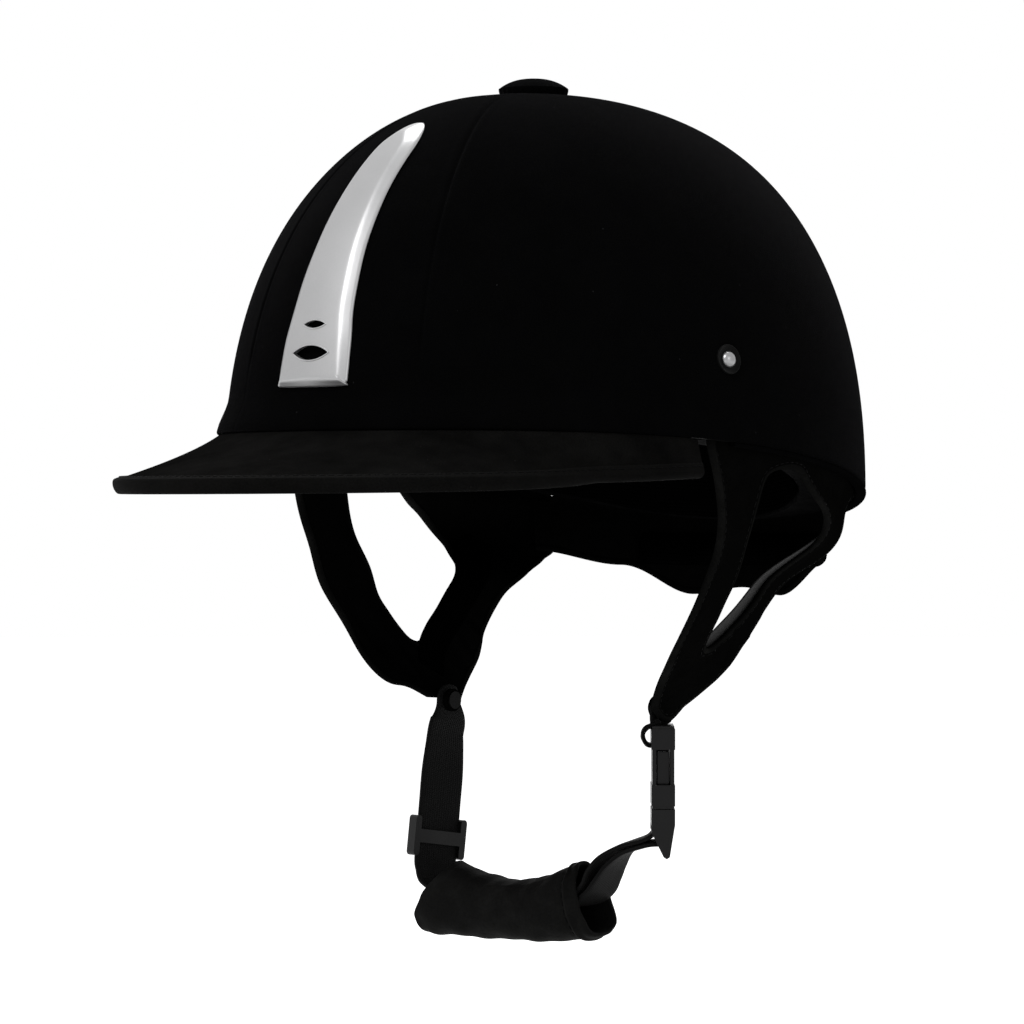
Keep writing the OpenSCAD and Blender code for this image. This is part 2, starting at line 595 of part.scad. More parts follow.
// Chin guard: a soft sleeve round the webbing, with its crown and drawn-in ends
GUARD_STATIONS = [-1, -0.97, -0.85, -0.6, -0.3, 0, 0.3, 0.6, 0.85, 0.97, 1];
guard_rise = 7.7;
guard_foot_rise = 3.4;
guard_low = guard_z - 12.6;
function guard_point(s, a, wall, side_wall, lip) = let (
        low = guard_low + guard_foot_rise * s * s, high = guard_low + guard_h + guard_rise * s * s,
        draw = lip * smooth((abs(s) - 0.84) / 0.16),
        rz = (high - low) / 2 - wall + draw, ry = guard_w / 2 - side_wall + draw * 0.5)
    [guard_x + s * guard_l / 2 * (wall > 0 ? 0.98 : 1), guard_y + ry * spow(cos(a), 0.8),
        (low + high) / 2 + rz * spow(sin(a), 0.8)];
module chin_guard() color(LEATHER) loft([for (k = [0:23]) let (a = k * 15) concat(
    [for (s = GUARD_STATIONS) guard_point(s, a, 0, 0, -0.8)],
    [for (s = flip(GUARD_STATIONS)) guard_point(s, a, guard_wall, 1.75, 0.8)])], true);

buckle_x = pivot_x + 0.7;
buckle_y = pivot_y;
buckle_turn = 40;
// Buckle frame: X across the thickness, Y across the width, at the buckle's axis
module buckle_frame() translate([buckle_x, buckle_y, 0]) rotate([0, 0, buckle_turn]) children();
module block(t, w, z0, z1) translate([-t / 2, -w / 2, z0]) cube([t, w, z1 - z0]);
socket_low = socket_top - socket_l;
window_top = socket_top - 8.9;
collar_h = 9;
mouth_w = buckle_w - 4;
mouth_t = buckle_t - 3.6;
slot_t = web_t + 3;
module buckle_socket() color(PLASTIC) buckle_frame() difference() {
    union() {
        block(buckle_t - 0.6, buckle_w - 1, socket_low, socket_top);
        block(buckle_t, buckle_w, socket_low + 1, socket_low + collar_h);
        block(buckle_t, buckle_w, window_top, socket_top - 1);
    }
    block(mouth_t, mouth_w, socket_low - 1, window_top);
    block(mouth_t, buckle_w + 2, socket_low + collar_h, window_top - 0.01);
    block(slot_t, loop_w + 1.4, socket_top - 5, socket_top + 1);
}
// Webbing loop that hangs the socket on the left pivot
module socket_loop() color(WEBBING) {
    translate([pivot_x, pivot_y, pivot_z]) web_tab(5, loop_w, pivot_d + 5);
    ribbon([[[pivot_x, pivot_y, pivot_z - 4.6], 0], [[pivot_x, pivot_y, pivot_z - 5.6], 0],
        [[pivot_x + 0.3, buckle_y, socket_top - 0.2], -12], [[buckle_x - 0.2, buckle_y, socket_top - 2], -26],
        [[buckle_x, buckle_y, socket_top - 3.7], -buckle_turn]], loop_w);
}
plug_low = socket_low - plug_l;
arm_pivot_z = socket_low - 4.5;
arm_w = 3;
arm_y = mouth_w / 2 - arm_w / 2 - 0.9;
// Cheek of the plug: from the buckle's thickness down to a rounded point, in X and Z
CHEEK = [[-4.5, -0.3], [4.5, -0.3], [4.5, -6], [2.5, 0.8 - plug_l], [1.3, -plug_l],
    [0.1, 0.8 - plug_l], [-4.5, -9]];
module cheek(w) rotate([90, 0, 0]) linear_extrude(w, center = true)
    polygon([for (q = CHEEK) [q[0] * buckle_t / 9, socket_low + q[1]]]);
module arm_pin_places() buckle_frame() for (side = [-1, 1])
    translate([0, side * arm_y, arm_pivot_z]) rotate([0, 90, 0]) children();
module buckle_plug() color(PLASTIC) difference() {
    buckle_frame() {
        difference() {
            union() {
                block(buckle_t, buckle_w - 0.5, arm_pivot_z - arm_pin_d, socket_low - 0.3);
                block(mouth_t - 0.6, 3.4, socket_low - 1, window_top - 0.6);
            }
            for (side = [-1, 1])
                translate([0, side * arm_y, 0])
                    block(mouth_t + 0.2, arm_w + 1.2, socket_low - 10, socket_low + 1);
        }
        for (side = [-1, 1]) translate([0, side * (buckle_w / 2 - 1.25), 0]) cheek(2);
        translate([bar_n, 0, bar_z]) rotate([90, 0, 0]) cylinder(h = buckle_w - 3, d = bar_d, center = true);
    }
    arm_pin_places() cylinder(h = buckle_t * 2, d = arm_pin_d + 0.1, center = true);
}
module arm_pins() color(STEEL) arm_pin_places() cylinder(h = buckle_t - 0.4, d = arm_pin_d, center = true);
// Release arm: a leg on its pin, with a lug that shows in the socket's window
arm_t = mouth_t - 0.8;
arm_top = window_top - 0.8;
module release_arm(side) color(PLASTIC) buckle_frame() translate([0, side * arm_y, 0]) difference() {
    union() {
        block(arm_t, arm_w, arm_pivot_z, arm_top);
        translate([0, 0, arm_pivot_z]) rotate([0, 90, 0]) cylinder(h = arm_t, d = arm_w, center = true);
        translate([0, side * 0.35, 0]) block(arm_t, arm_w + 0.7, socket_low + collar_h + 0.4, arm_top);
    }
    translate([0, 0, arm_pivot_z]) rotate([0, 90, 0]) cylinder(h = 20, d = arm_pin_d + 0.1, center = true);
}
module arm_front() release_arm(-1);
module arm_rear() release_arm(1);

// Left webbing: from inside the guard round the plug's bar and back
bar_z = socket_low - 10.8;
bar_n = -1;
bar_wrap = bar_d / 2 + soft_gap + web_t / 2 + 0.1;
function bar_place(n, dz) = [
    buckle_x + (bar_n + n) * cos(buckle_turn), buckle_y + (bar_n + n) * sin(buckle_turn), bar_z + dz];
LEFT_UP = [[34.5, -5.9, 6, 0], [37.8, -5.5, 9, -3], [40.2, -4.8, 13.5, -8], [42.6, -3.8, 18.5, -14],
    [46.5, -2.2, 23, -26]];
LEFT_DOWN = [[45.5, -2.6, 27, -24], [40.4, -4.6, 21.5, -10], [37.9, -5.4, 15.5, -4], [36.7, -5.8, 11.5, -1],
    [34, -6, 9, 0], [31.5, -6, 7, 0]];
module left_web() color(WEBBING) ribbon(concat(
    [for (o = [WEB_END + soft_gap, 36]) [guard_arc(o), 0]],
    bend(LEFT_UP, 0),
    [[bar_place(-4.5, -4.2), -36]],
    [for (a = [-90:36:90]) [bar_place(bar_wrap * cos(a), bar_wrap * sin(a)), -buckle_turn]],
    [[bar_place(-4.5, 1.4), -36]],
    bend(LEFT_DOWN, 0)));

outer_shell();
cover_front();
cover_left();
cover_right();
cover_rear();
foam_liner();
headband();
crown_pad();
rim_binding();
peak_core();
peak_cover();
peak_lining();
peak_binding();
front_plate();
vent_screens();
crown_button();
button_nut();
side_studs();
stud_washers();
anchor_rivets();
harness_left();
harness_right();
pivot_patches();
strap_pivots();
nape_panel();
nape_pad();
chin_web();
left_web();
slider();
chin_guard();
buckle_socket();
socket_loop();
buckle_plug();
arm_front();
arm_rear();
arm_pins();
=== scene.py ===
"""Riding helmet: soft goods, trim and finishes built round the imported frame."""
import json
import math

import bmesh
import bpy
import numpy as np
from bpy.props import FloatProperty, FloatVectorProperty, IntProperty, PointerProperty
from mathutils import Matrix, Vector


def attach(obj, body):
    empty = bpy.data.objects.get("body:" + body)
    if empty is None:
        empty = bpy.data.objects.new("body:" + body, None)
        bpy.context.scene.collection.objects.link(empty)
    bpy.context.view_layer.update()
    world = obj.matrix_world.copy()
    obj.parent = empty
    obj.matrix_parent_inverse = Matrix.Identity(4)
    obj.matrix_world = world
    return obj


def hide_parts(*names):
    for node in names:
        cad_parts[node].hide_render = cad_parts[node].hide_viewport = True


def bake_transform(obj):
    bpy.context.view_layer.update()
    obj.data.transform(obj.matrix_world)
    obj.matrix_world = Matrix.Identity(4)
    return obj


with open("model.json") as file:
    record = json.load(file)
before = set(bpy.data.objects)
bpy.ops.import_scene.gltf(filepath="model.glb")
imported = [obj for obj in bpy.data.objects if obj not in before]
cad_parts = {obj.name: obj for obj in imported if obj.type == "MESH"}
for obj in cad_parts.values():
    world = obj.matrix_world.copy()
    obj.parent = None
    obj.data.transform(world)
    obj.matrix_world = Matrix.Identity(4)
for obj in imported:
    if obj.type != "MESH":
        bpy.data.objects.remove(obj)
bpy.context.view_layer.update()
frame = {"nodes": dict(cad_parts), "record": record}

bl_info = {
    "name": "Riding helmet",
    "version": (1, 0, 0),
    "blender": (4, 5, 0),
    "location": "View3D > Sidebar > Helmet",
    "description": "Builds the velvet, suede, leather, webbing and trim of a riding helmet",
    "category": "Add Mesh",
}

# Millimetres to metres: shapes are worked out in millimetres and stored in metres
MM = 0.001
# Points closer than this many metres count as one
WELD = 2e-6

# Form of the shell, in millimetres
HALF_W, HALF_L = 115.5, 137.5
CROWN_Z, EQUATOR = 132.0, 25.0
HEIGHT = CROWN_Z + EQUATOR
PROFILE = 2.37
RIM_DROP, RIM_POWER, SHELL_Y = 33.0, 4.6, 1.5
# Outward flare of the front rim: its size, the angle at which it ends, and the angle and height over which it
# fades
RIM_FLARE, FLARE_END, FLARE_FADE, FLARE_HIGH = 3.5, 80, 25, 14
CROWN_LEAN, LEAN_POWER = 9.0, 12
COVER_T, SHELL_T, FOAM_T, BAND_T, LAYER_GAP, PAD_GAP = 1.2, 2.4, 22.0, 8.0, 0.2, 0.9
SHELL_D1 = COVER_T + LAYER_GAP + SHELL_T
BAND_D0 = SHELL_D1 + LAYER_GAP + FOAM_T + PAD_GAP
BAND_D1 = BAND_D0 + BAND_T
POLE = math.radians(3)
PANEL_DEG = 22.5
LEATHER_T, SOFT = 2.4, 0.3
TAB_D0 = SHELL_D1 + 0.8
TAB_D1 = TAB_D0 + LEATHER_T

# Strap pivots and webbing, in millimetres
PIVOT = np.array([54.5, 4.0, -105.0])
FOOT_HALF = 57.0
WEB_W, WEB_T = 20.0, 2.0
BUCKLE_AXIS = np.array([55.2, 4.0])
BUCKLE_TURN = math.radians(40)
SOCKET_TOP = -111.6


# Plain numbers and curves

def mix(a, b, f):
    """Value a share f of the way from a to b."""
    return a + (b - a) * f


def ease(v):
    """Smooth step: 3c^2 - 2c^3 of the value held between 0 and 1."""
    c = np.clip(v, 0, 1)
    return c * c * (3 - 2 * c)


def spow(v, e):
    """Power that keeps the sign."""
    return np.sign(v) * np.abs(v) ** e


def bump(x, width):
    """Bell curve exp(-(x / width)^2)."""
    return np.exp(-(x / width) ** 2)


def vec(*parts):
    """Coordinates of the same shape stacked into points."""
    return np.stack(np.broadcast_arrays(*parts), -1)


def unit(v):
    """Vectors at length one."""
    return v / np.maximum(np.linalg.norm(v, axis=-1, keepdims=True), 1e-9)


def catmull(c, steps, closed=False):
    """Curve through control points: cubic between neighbours, with tangents of half the next chord."""
    c = np.asarray(c, float)
    if closed:
        p = [np.roll(c, k, 0) for k in (1, 0, -1, -2)]
    else:
        e = np.concatenate([2 * c[:1] - c[1:2], c, 2 * c[-1:] - c[-2:-1]])
        p = [e[k:len(c) - 1 + k] for k in range(4)]
    f = (np.arange(steps) / steps)[None, :, None]
    a, b, d, g = (q[:, None, :] for q in p)
    square = (2 * a - 5 * b + 4 * d - g) * f ** 2
    cube = (3 * b - a - 3 * d + g) * f ** 3
    out = 0.5 * (2 * b + (d - a) * f + square + cube)
    out = out.reshape(-1, c.shape[1])
    return out if closed else np.concatenate([out, c[-1:]])


def arc_length(p):
    """Distance along a polyline to each of its points."""
    return np.concatenate([[0], np.cumsum(np.linalg.norm(np.diff(p, axis=0), axis=1))])


def resample(p, s, values=None):
    """Values at distances s along a polyline: each coordinate read off by its length."""
    at = arc_length(p)
    values = p if values is None else values
    return np.stack([np.interp(s, at, values[:, k]) for k in range(values.shape[1])], -1)


# Form of the shell: t runs round from the front, phi down from the crown, d is the depth inwards

def rim_z(t):
    """Height of the rim: the drop times a power of the half angle's sine."""
    return -RIM_DROP * np.abs(np.sin(t / 2)) ** RIM_POWER


def centre_y(z):
    """Middle of the shell at a height: only the crown leans to the front, with a high power of the height."""
    return SHELL_Y - CROWN_LEAN * np.maximum(0, (z + EQUATOR) / HEIGHT) ** LEAN_POWER


def phi_at(z, d):
    """Angle down from the crown at which a layer reaches a height."""
    return np.arccos(spow(np.clip((z + EQUATOR) / (HEIGHT - d), -1, 1), PROFILE / 2))


def flare(t, z):
    """Outward flare of the front rim, eased in over its height and its angle."""
    side = np.degrees(np.abs((t + np.pi) % (2 * np.pi) - np.pi))
    return RIM_FLARE * ease((FLARE_END - side) / FLARE_FADE) * ease((rim_z(t) + FLARE_HIGH - z) / FLARE_HIGH)


def shell_point(t, phi, d):
    """Superellipsoid: radius sin(phi)^(2/n) and height cos(phi)^(2/n), both less the depth."""
    rho = np.maximum(0, np.sin(phi)) ** (2 / PROFILE)
    z = (HEIGHT - d) * spow(np.cos(phi), 2 / PROFILE) - EQUATOR
    out = flare(t, z)
    return vec((HALF_W - d + out) * rho * np.sin(t), centre_y(z) - (HALF_L - d + out) * rho * np.cos(t), z)


def row_point(t, v, d):
    """Point a share v of the way from the crown to the rim."""
    return shell_point(t, mix(POLE, phi_at(rim_z(t), d), v), d)


def level_point(t, z, d):
    """Point of a layer at a height."""
    return shell_point(t, phi_at(z, d), d)


def rho_at(z, d):
    """Share of the full radius at a height and depth."""
    q = np.minimum(1, np.abs((z + EQUATOR) / (HEIGHT - d)))
    return np.maximum(0, 1 - q ** PROFILE) ** (1 / PROFILE)


def side_x(y, z, d):
    """Sideways distance of a layer at a place y and a height z, from its ellipse."""
    q = rho_at(z, d) ** 2 - ((y - centre_y(z)) / (HALF_L - d)) ** 2
    return (HALF_W - d) * np.sqrt(np.maximum(0.0001, q))


# Meshes

def new_object(name, verts, faces, smooth=40):
    """Mesh object at the origin from points in millimetres, shaded smooth up to an angle."""
    me = bpy.data.meshes.new(name)
    me.from_pydata((np.asarray(verts, float) * MM).tolist(), [], faces)
    me.update()
    smooth_faces(me, smooth)
    ob = bpy.data.objects.new(name, me)
    bpy.context.scene.collection.objects.link(ob)
    return ob


def smooth_faces(me, angle=None):
    """Shades every face smooth. Given an angle in degrees, edges that bend by more than it are sharp."""
    me.polygons.foreach_set("use_smooth", np.ones(len(me.polygons), bool))
    if angle:
        me.set_sharp_from_angle(angle=math.radians(angle))


def points_of(me):
    """Points of a mesh, in metres."""
    co = np.empty(len(me.vertices) * 3)
    me.vertices.foreach_get("co", co)
    return co.reshape(-1, 3)


def circle(n):
    """Angles of n equal steps round a full turn."""
    return np.linspace(0, 2 * np.pi, n, endpoint=False)


def grid(name, p, round_u=False, round_v=True, smooth=40, weld=False):
    """Surface over a grid of points p[u, v]. A section that is closed in v gets strip caps at the ends in u.
    The UV map is the distance in metres along u and v. Faces are turned outwards by the signed volume."""
    n, m = p.shape[:2]
    i, j = np.meshgrid(np.arange(n if round_u else n - 1), np.arange(m if round_v else m - 1), indexing="ij")
    corners = [(i, j), (i, j + 1), (i + 1, j + 1), (i + 1, j)]
    quads = np.stack([(a % n) * m + b % m for a, b in corners], -1).reshape(-1, 4)
    places = np.stack([a * (m + 1) + b for a, b in corners], -1).reshape(-1, 4)
    if round_v and not round_u:
        k = np.arange(m // 2 - 1)
        cap = np.stack([k + 1, k, m - 1 - k, m - 2 - k], -1)
        quads = np.concatenate([quads, cap, cap[:, ::-1] + (n - 1) * m])
        places = np.concatenate([places, cap, cap[:, ::-1] + (n - 1) * (m + 1)])
    v = p.reshape(-1, 3)
    centre = v.mean(0)
    a, b, c, d = (v[quads[:, k]] - centre for k in range(4))
    volume = np.einsum("ij,ij->i", np.cross(a, b), c).sum() + np.einsum("ij,ij->i", np.cross(a, c), d).sum()
    if volume < 0:
        quads, places = quads[:, ::-1], places[:, ::-1]
    ob = new_object(name, v, quads.tolist(), smooth)
    wrapped = np.concatenate([p, p[:1]]) if round_u else p
    wrapped = np.concatenate([wrapped, wrapped[:, :1]], 1)
    along = np.concatenate([[0], np.cumsum(np.linalg.norm(np.diff(wrapped, axis=0), axis=-1).mean(1))])
    across = np.concatenate([np.zeros((len(wrapped), 1)),
                             np.cumsum(np.linalg.norm(np.diff(wrapped, axis=1), axis=-1), 1)], 1)
    uv = np.stack([np.broadcast_to(along[:, None], across.shape), across], -1).reshape(-1, 2) * MM
    layer = ob.data.uv_layers.new(name="lay")
    layer.data.foreach_set("uv", uv[places.ravel()].astype(np.float32).ravel())
    if weld:
        merge(ob)
    return ob


def merge(ob, flat=None):
    """Joins points that lie on each other and turns the faces outwards. Given an angle in radians, it joins
    the faces that are flat within it instead of turning them."""
    bm = bmesh.new()
    bm.from_mesh(ob.data)
    bmesh.ops.remove_doubles(bm, verts=bm.verts, dist=WELD)
    if flat:
        bmesh.ops.dissolve_limit(bm, angle_limit=flat, verts=bm.verts, edges=bm.edges)
    else:
        bmesh.ops.recalc_face_normals(bm, faces=bm.faces)
    bm.to_mesh(ob.data)
    bm.free()


def apply_modifiers(ob):
    """Turns what the modifiers make into the object's own mesh."""
    graph = bpy.context.evaluated_depsgraph_get()
    me = bpy.data.meshes.new_from_object(ob.evaluated_get(graph))
    ob.modifiers.clear()
    ob.data = me


def place(ob, body, slot, material, replaces=()):
    """Gives a finished piece its body, its material and the nodes that it stands for. Its slot is not used.
    A piece that bends between two bodies is given none here."""
    ob.data.materials.clear()
    ob.data.materials.append(bpy.data.materials[material])
    if body:
        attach(ob, body)
    if replaces:
        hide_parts(*replaces)
    return ob


def stitches(name, path, normals):
    """Row of stitches: spindles of four rings and six sides, half sunk in the surface along a path."""
    p = bpy.context.scene.helmet_leather
    pitch, length, thick = p.stitch_pitch / MM, p.stitch_length / MM, p.stitch_thick / MM
    total = arc_length(path)[-1]
    count = max(1, int(total / pitch))
    s = (np.arange(count) + 0.5) * total / count
    c = resample(path, s)
    along = unit(resample(path, s + 0.5) - resample(path, s - 0.5))
    n = unit(resample(path, s, normals))
    side = np.cross(n, along)
    x = np.array([-0.5, -0.36, 0.36, 0.5]) * length
    r = np.array([0.35, 1.0, 1.0, 0.35]) * thick
    a = np.arange(6) * np.pi / 3
    local = vec(x[:, None] + 0 * a, r[:, None] * np.cos(a), r[:, None] * np.sin(a)).reshape(-1, 3)
    verts = (c[:, None] + local[None, :, :1] * along[:, None] + local[None, :, 1:2] * side[:, None]
             + local[None, :, 2:] * n[:, None])
    k = np.arange(6)
    ring = np.stack([k, (k + 1) % 6, (k + 1) % 6 + 6, k + 6], -1)
    ends = [[0, 5, 4, 3], [0, 3, 2, 1], [18, 19, 20, 21], [18, 21, 22, 23]]
    one = np.concatenate([ring + 6 * g for g in range(3)] + [ends])
    faces = (one[None] + 24 * np.arange(count)[:, None, None]).reshape(-1, 4)
    return new_object(name, verts.reshape(-1, 3), faces.tolist(), 60)


def join(name, parts):
    """One object from several meshes."""
    bm = bmesh.new()
    for ob in parts:
        bm.from_mesh(ob.data)
    me = bpy.data.meshes.new(name)
    bm.to_mesh(me)
    bm.free()
    for ob in parts:
        bpy.data.objects.remove(ob)
    smooth_faces(me)
    ob = bpy.data.objects.new(name, me)
    bpy.context.scene.collection.objects.link(ob)
    return ob


def nose(distance, radius):
    """Rounded edge as a share of the full height: a quarter circle from the edge to its radius, then 1."""
    return np.sqrt(np.clip(1 - (1 - np.minimum(distance / radius, 1)) ** 2, 0, 1))


# Shader node groups

FLOAT, TINT = "NodeSocketFloat", "NodeSocketColor"


def group(name, inputs):
    """Empty shader group with inputs of (name, kind, default), for a colour, a height and a roughness."""
    tree = bpy.data.node_groups.new(name, "ShaderNodeTree")
    for label, kind, value in inputs:
        socket = tree.interface.new_socket(label, in_out="INPUT", socket_type=kind)
        socket.default_value = value
    for label, kind in (("Color", TINT), ("Height", FLOAT), ("Roughness", FLOAT)):
        tree.interface.new_socket(label, in_out="OUTPUT", socket_type=kind)
    start, end = tree.nodes.new("NodeGroupInput"), tree.nodes.new("NodeGroupOutput")
    return tree, start.outputs, end.inputs


def give(tree, outputs, colour, height, roughness):
    """Links a group's three results to its outputs."""
    for label, result in (("Color", colour), ("Height", height), ("Roughness", roughness)):
        tree.links.new(result, outputs[label])


def node(tree, kind, links=None, **values):
    """Adds a node, sets its values and links its inputs by name or number."""
    made = tree.nodes.new(kind)
    for key, value in values.items():
        setattr(made, key, value)
    for key, source in (links or {}).items():
        socket = made.inputs[key]
        if isinstance(source, bpy.types.NodeSocket):
            tree.links.new(source, socket)
        else:
            socket.default_value = source
    return made


def maths(tree, operation, a, b=0.0, c=0.0):
    """Math node's output."""
    return node(tree, "ShaderNodeMath", {0: a, 1: b, 2: c}, operation=operation).outputs[0]


def plus(tree, a, b):
    """Sum of two values."""
    return maths(tree, "ADD", a, b)


def minus(tree, a, b):
    """Difference of two values."""
    return maths(tree, "SUBTRACT", a, b)


def times(tree, a, b):
    """Product of two values."""
    return maths(tree, "MULTIPLY", a, b)


def times_plus(tree, a, b, c):
    """First value times the second, plus the third."""
    return maths(tree, "MULTIPLY_ADD", a, b, c)


def object_place(tree):
    """Object coordinates of the shaded point."""
    return node(tree, "ShaderNodeTexCoord").outputs["Object"]


def noise(tree, scale, detail=2.0, rough=0.5, source=None):
    """Noise over object coordinates, or over the place given."""
    links = {"Vector": source or object_place(tree), "Scale": scale, "Detail": detail, "Roughness": rough}
    return node(tree, "ShaderNodeTexNoise", links).outputs["Fac"]


def stretched(tree, place, factors):
    """Place with each of its coordinates times its own factor."""
    return node(tree, "ShaderNodeVectorMath", {0: place, 1: factors}, operation="MULTIPLY").outputs[0]


def shade(tree, colour, factor):
    """Colour times a factor."""
    return node(tree, "ShaderNodeVectorMath", {0: colour, "Scale": factor}, operation="SCALE").outputs[0]


def pile_group():
    """Short pile of velvet or suede: fine fibres, brushed patches and a few light specks of lint."""
    tree, a, z = group("pile", [("Color", TINT, (0.01, 0.01, 0.01, 1)), ("Fibre", FLOAT, 1800.0),
                                ("Brushed", FLOAT, 0.5), ("Lint", FLOAT, 0.0)])
    fibre = noise(tree, a["Fibre"], 3.0, 0.6)
    patch = noise(tree, 38.0, 3.0, 0.55)
    smear = noise(tree, 140.0, 2.0, 0.5)
    mottled = plus(tree, times(tree, patch, 0.7), times(tree, smear, 0.3))
    level = times_plus(tree, minus(tree, mottled, 0.5), times(tree, a["Brushed"], 4.0), 1.0)
    level = times(tree, maths(tree, "MAXIMUM", level, 0.25), times_plus(tree, fibre, 1.2, 0.4))
    cells = {"Vector": object_place(tree), "Scale": 210.0, "Randomness": 1.0}
    cell = node(tree, "ShaderNodeTexVoronoi", cells).outputs
    speck = maths(tree, "LESS_THAN", cell["Distance"], 0.07)
    draw = node(tree, "ShaderNodeSeparateColor", {0: cell["Color"]}).outputs[0]
    lint = times(tree, times(tree, speck, maths(tree, "GREATER_THAN", draw, 0.9)), a["Lint"])
    colour = shade(tree, a["Color"], plus(tree, level, times(tree, lint, 5.0)))
    height = plus(tree, fibre, times(tree, smear, 0.5))
    give(tree, z, colour, height, times_plus(tree, mottled, 0.25, 0.72))


def grain_group():
    """Leather or moulded grain: pebbled cells, fine creases and rubbed lighter patches."""
    tree, a, z = group("grain", [("Color", TINT, (0.02, 0.02, 0.02, 1)),
                                 ("Rubbed", TINT, (0.05, 0.05, 0.05, 1)),
                                 ("Cells", FLOAT, 900.0), ("Wear", FLOAT, 0.3), ("Roughness", FLOAT, 0.6)])
    at = object_place(tree)
    warp = node(tree, "ShaderNodeTexNoise", {"Vector": at, "Scale": 260.0, "Detail": 2.0}).outputs["Color"]
    shift = {0: warp, 1: (0.0012,) * 3, 2: at}
    bent = node(tree, "ShaderNodeVectorMath", shift, operation="MULTIPLY_ADD").outputs[0]
    cells = {"Vector": bent, "Scale": a["Cells"], "Randomness": 0.9}
    cell = node(tree, "ShaderNodeTexVoronoi", cells).outputs
    pebble = minus(tree, 1.0, maths(tree, "POWER", cell["Distance"], 2.0))
    crease = noise(tree, 120.0, 4.0, 0.65)
    broad = noise(tree, 22.0, 3.0, 0.5)
    patches = times_plus(tree, crease, 0.45, times(tree, broad, 0.6))
    worn = node(tree, "ShaderNodeMapRange", {0: patches, 1: 0.48, 2: 0.72, 3: 0.0, 4: 1.0}).outputs[0]
    worn = times(tree, worn, a["Wear"])
    both = {0: worn, 6: a["Color"], 7: a["Rubbed"]}
    colour = node(tree, "ShaderNodeMix", both, data_type="RGBA").outputs[2]
    colour = shade(tree, colour, times_plus(tree, pebble, 0.35, 0.75))
    height = plus(tree, times(tree, pebble, 0.6), times(tree, crease, 0.8))
    give(tree, z, colour, height, minus(tree, a["Roughness"], times(tree, worn, 0.12)))


def weave_group():
    """Woven strap on the piece's UV map: warp ribs along the length, weft across in a twill, and fuzz."""
    tree, a, z = group("weave", [("Color", TINT, (0.03, 0.03, 0.03, 1)), ("Rib", FLOAT, 0.0011),
                                 ("Pick", FLOAT, 0.0009), ("Contrast", FLOAT, 0.5)])
    uv = node(tree, "ShaderNodeUVMap", uv_map="lay").outputs[0]
    split = node(tree, "ShaderNodeSeparateXYZ", {0: uv}).outputs
    rib = maths(tree, "DIVIDE", split[1], a["Rib"])
    pick = maths(tree, "DIVIDE", split[0], a["Pick"])
    across = maths(tree, "ABSOLUTE", maths(tree, "SINE", times(tree, rib, math.pi)))
    slant = plus(tree, pick, times(tree, rib, 0.5))
    twill = maths(tree, "SINE", times(tree, slant, 2 * math.pi))
    thread = times(tree, across, times_plus(tree, twill, 0.3, 0.7))
    fuzz = noise(tree, 2600.0, 2.0, 0.6)
    streak = noise(tree, 1.0, 2.0, 0.5, stretched(tree, uv, (60.0, 700.0, 1.0)))
    level = times_plus(tree, minus(tree, thread, 0.5), a["Contrast"], 1.0)
    level = times(tree, level, times_plus(tree, streak, 0.7, 0.65))
    height = plus(tree, thread, times(tree, fuzz, 0.35))
    give(tree, z, shade(tree, a["Color"], level), height, times_plus(tree, streak, 0.2, 0.45))


def rub_group():
    """Handling marks on hard parts: fine scratches, a sparkle of flake and duller patches."""
    tree, a, z = group("rub", [("Color", TINT, (0.5, 0.5, 0.5, 1)), ("Flake", FLOAT, 0.1),
                               ("Roughness", FLOAT, 0.35), ("Marks", FLOAT, 0.3)])
    flake = noise(tree, 3800.0, 1.0, 0.5)
    cloud = minus(tree, noise(tree, 45.0, 4.0, 0.6), 0.5)
    scratch = noise(tree, 1.0, 3.0, 0.5, stretched(tree, object_place(tree), (2600.0, 2600.0, 130.0)))
    level = times_plus(tree, minus(tree, flake, 0.5), a["Flake"], 1.0)
    level = plus(tree, level, times(tree, cloud, 0.12))
    height = times_plus(tree, scratch, 0.3, times(tree, flake, 0.7))
    roughness = plus(tree, a["Roughness"], times(tree, cloud, a["Marks"]))
    give(tree, z, shade(tree, a["Color"], level), height, roughness)


GROUPS = (pile_group, grain_group, weave_group, rub_group)


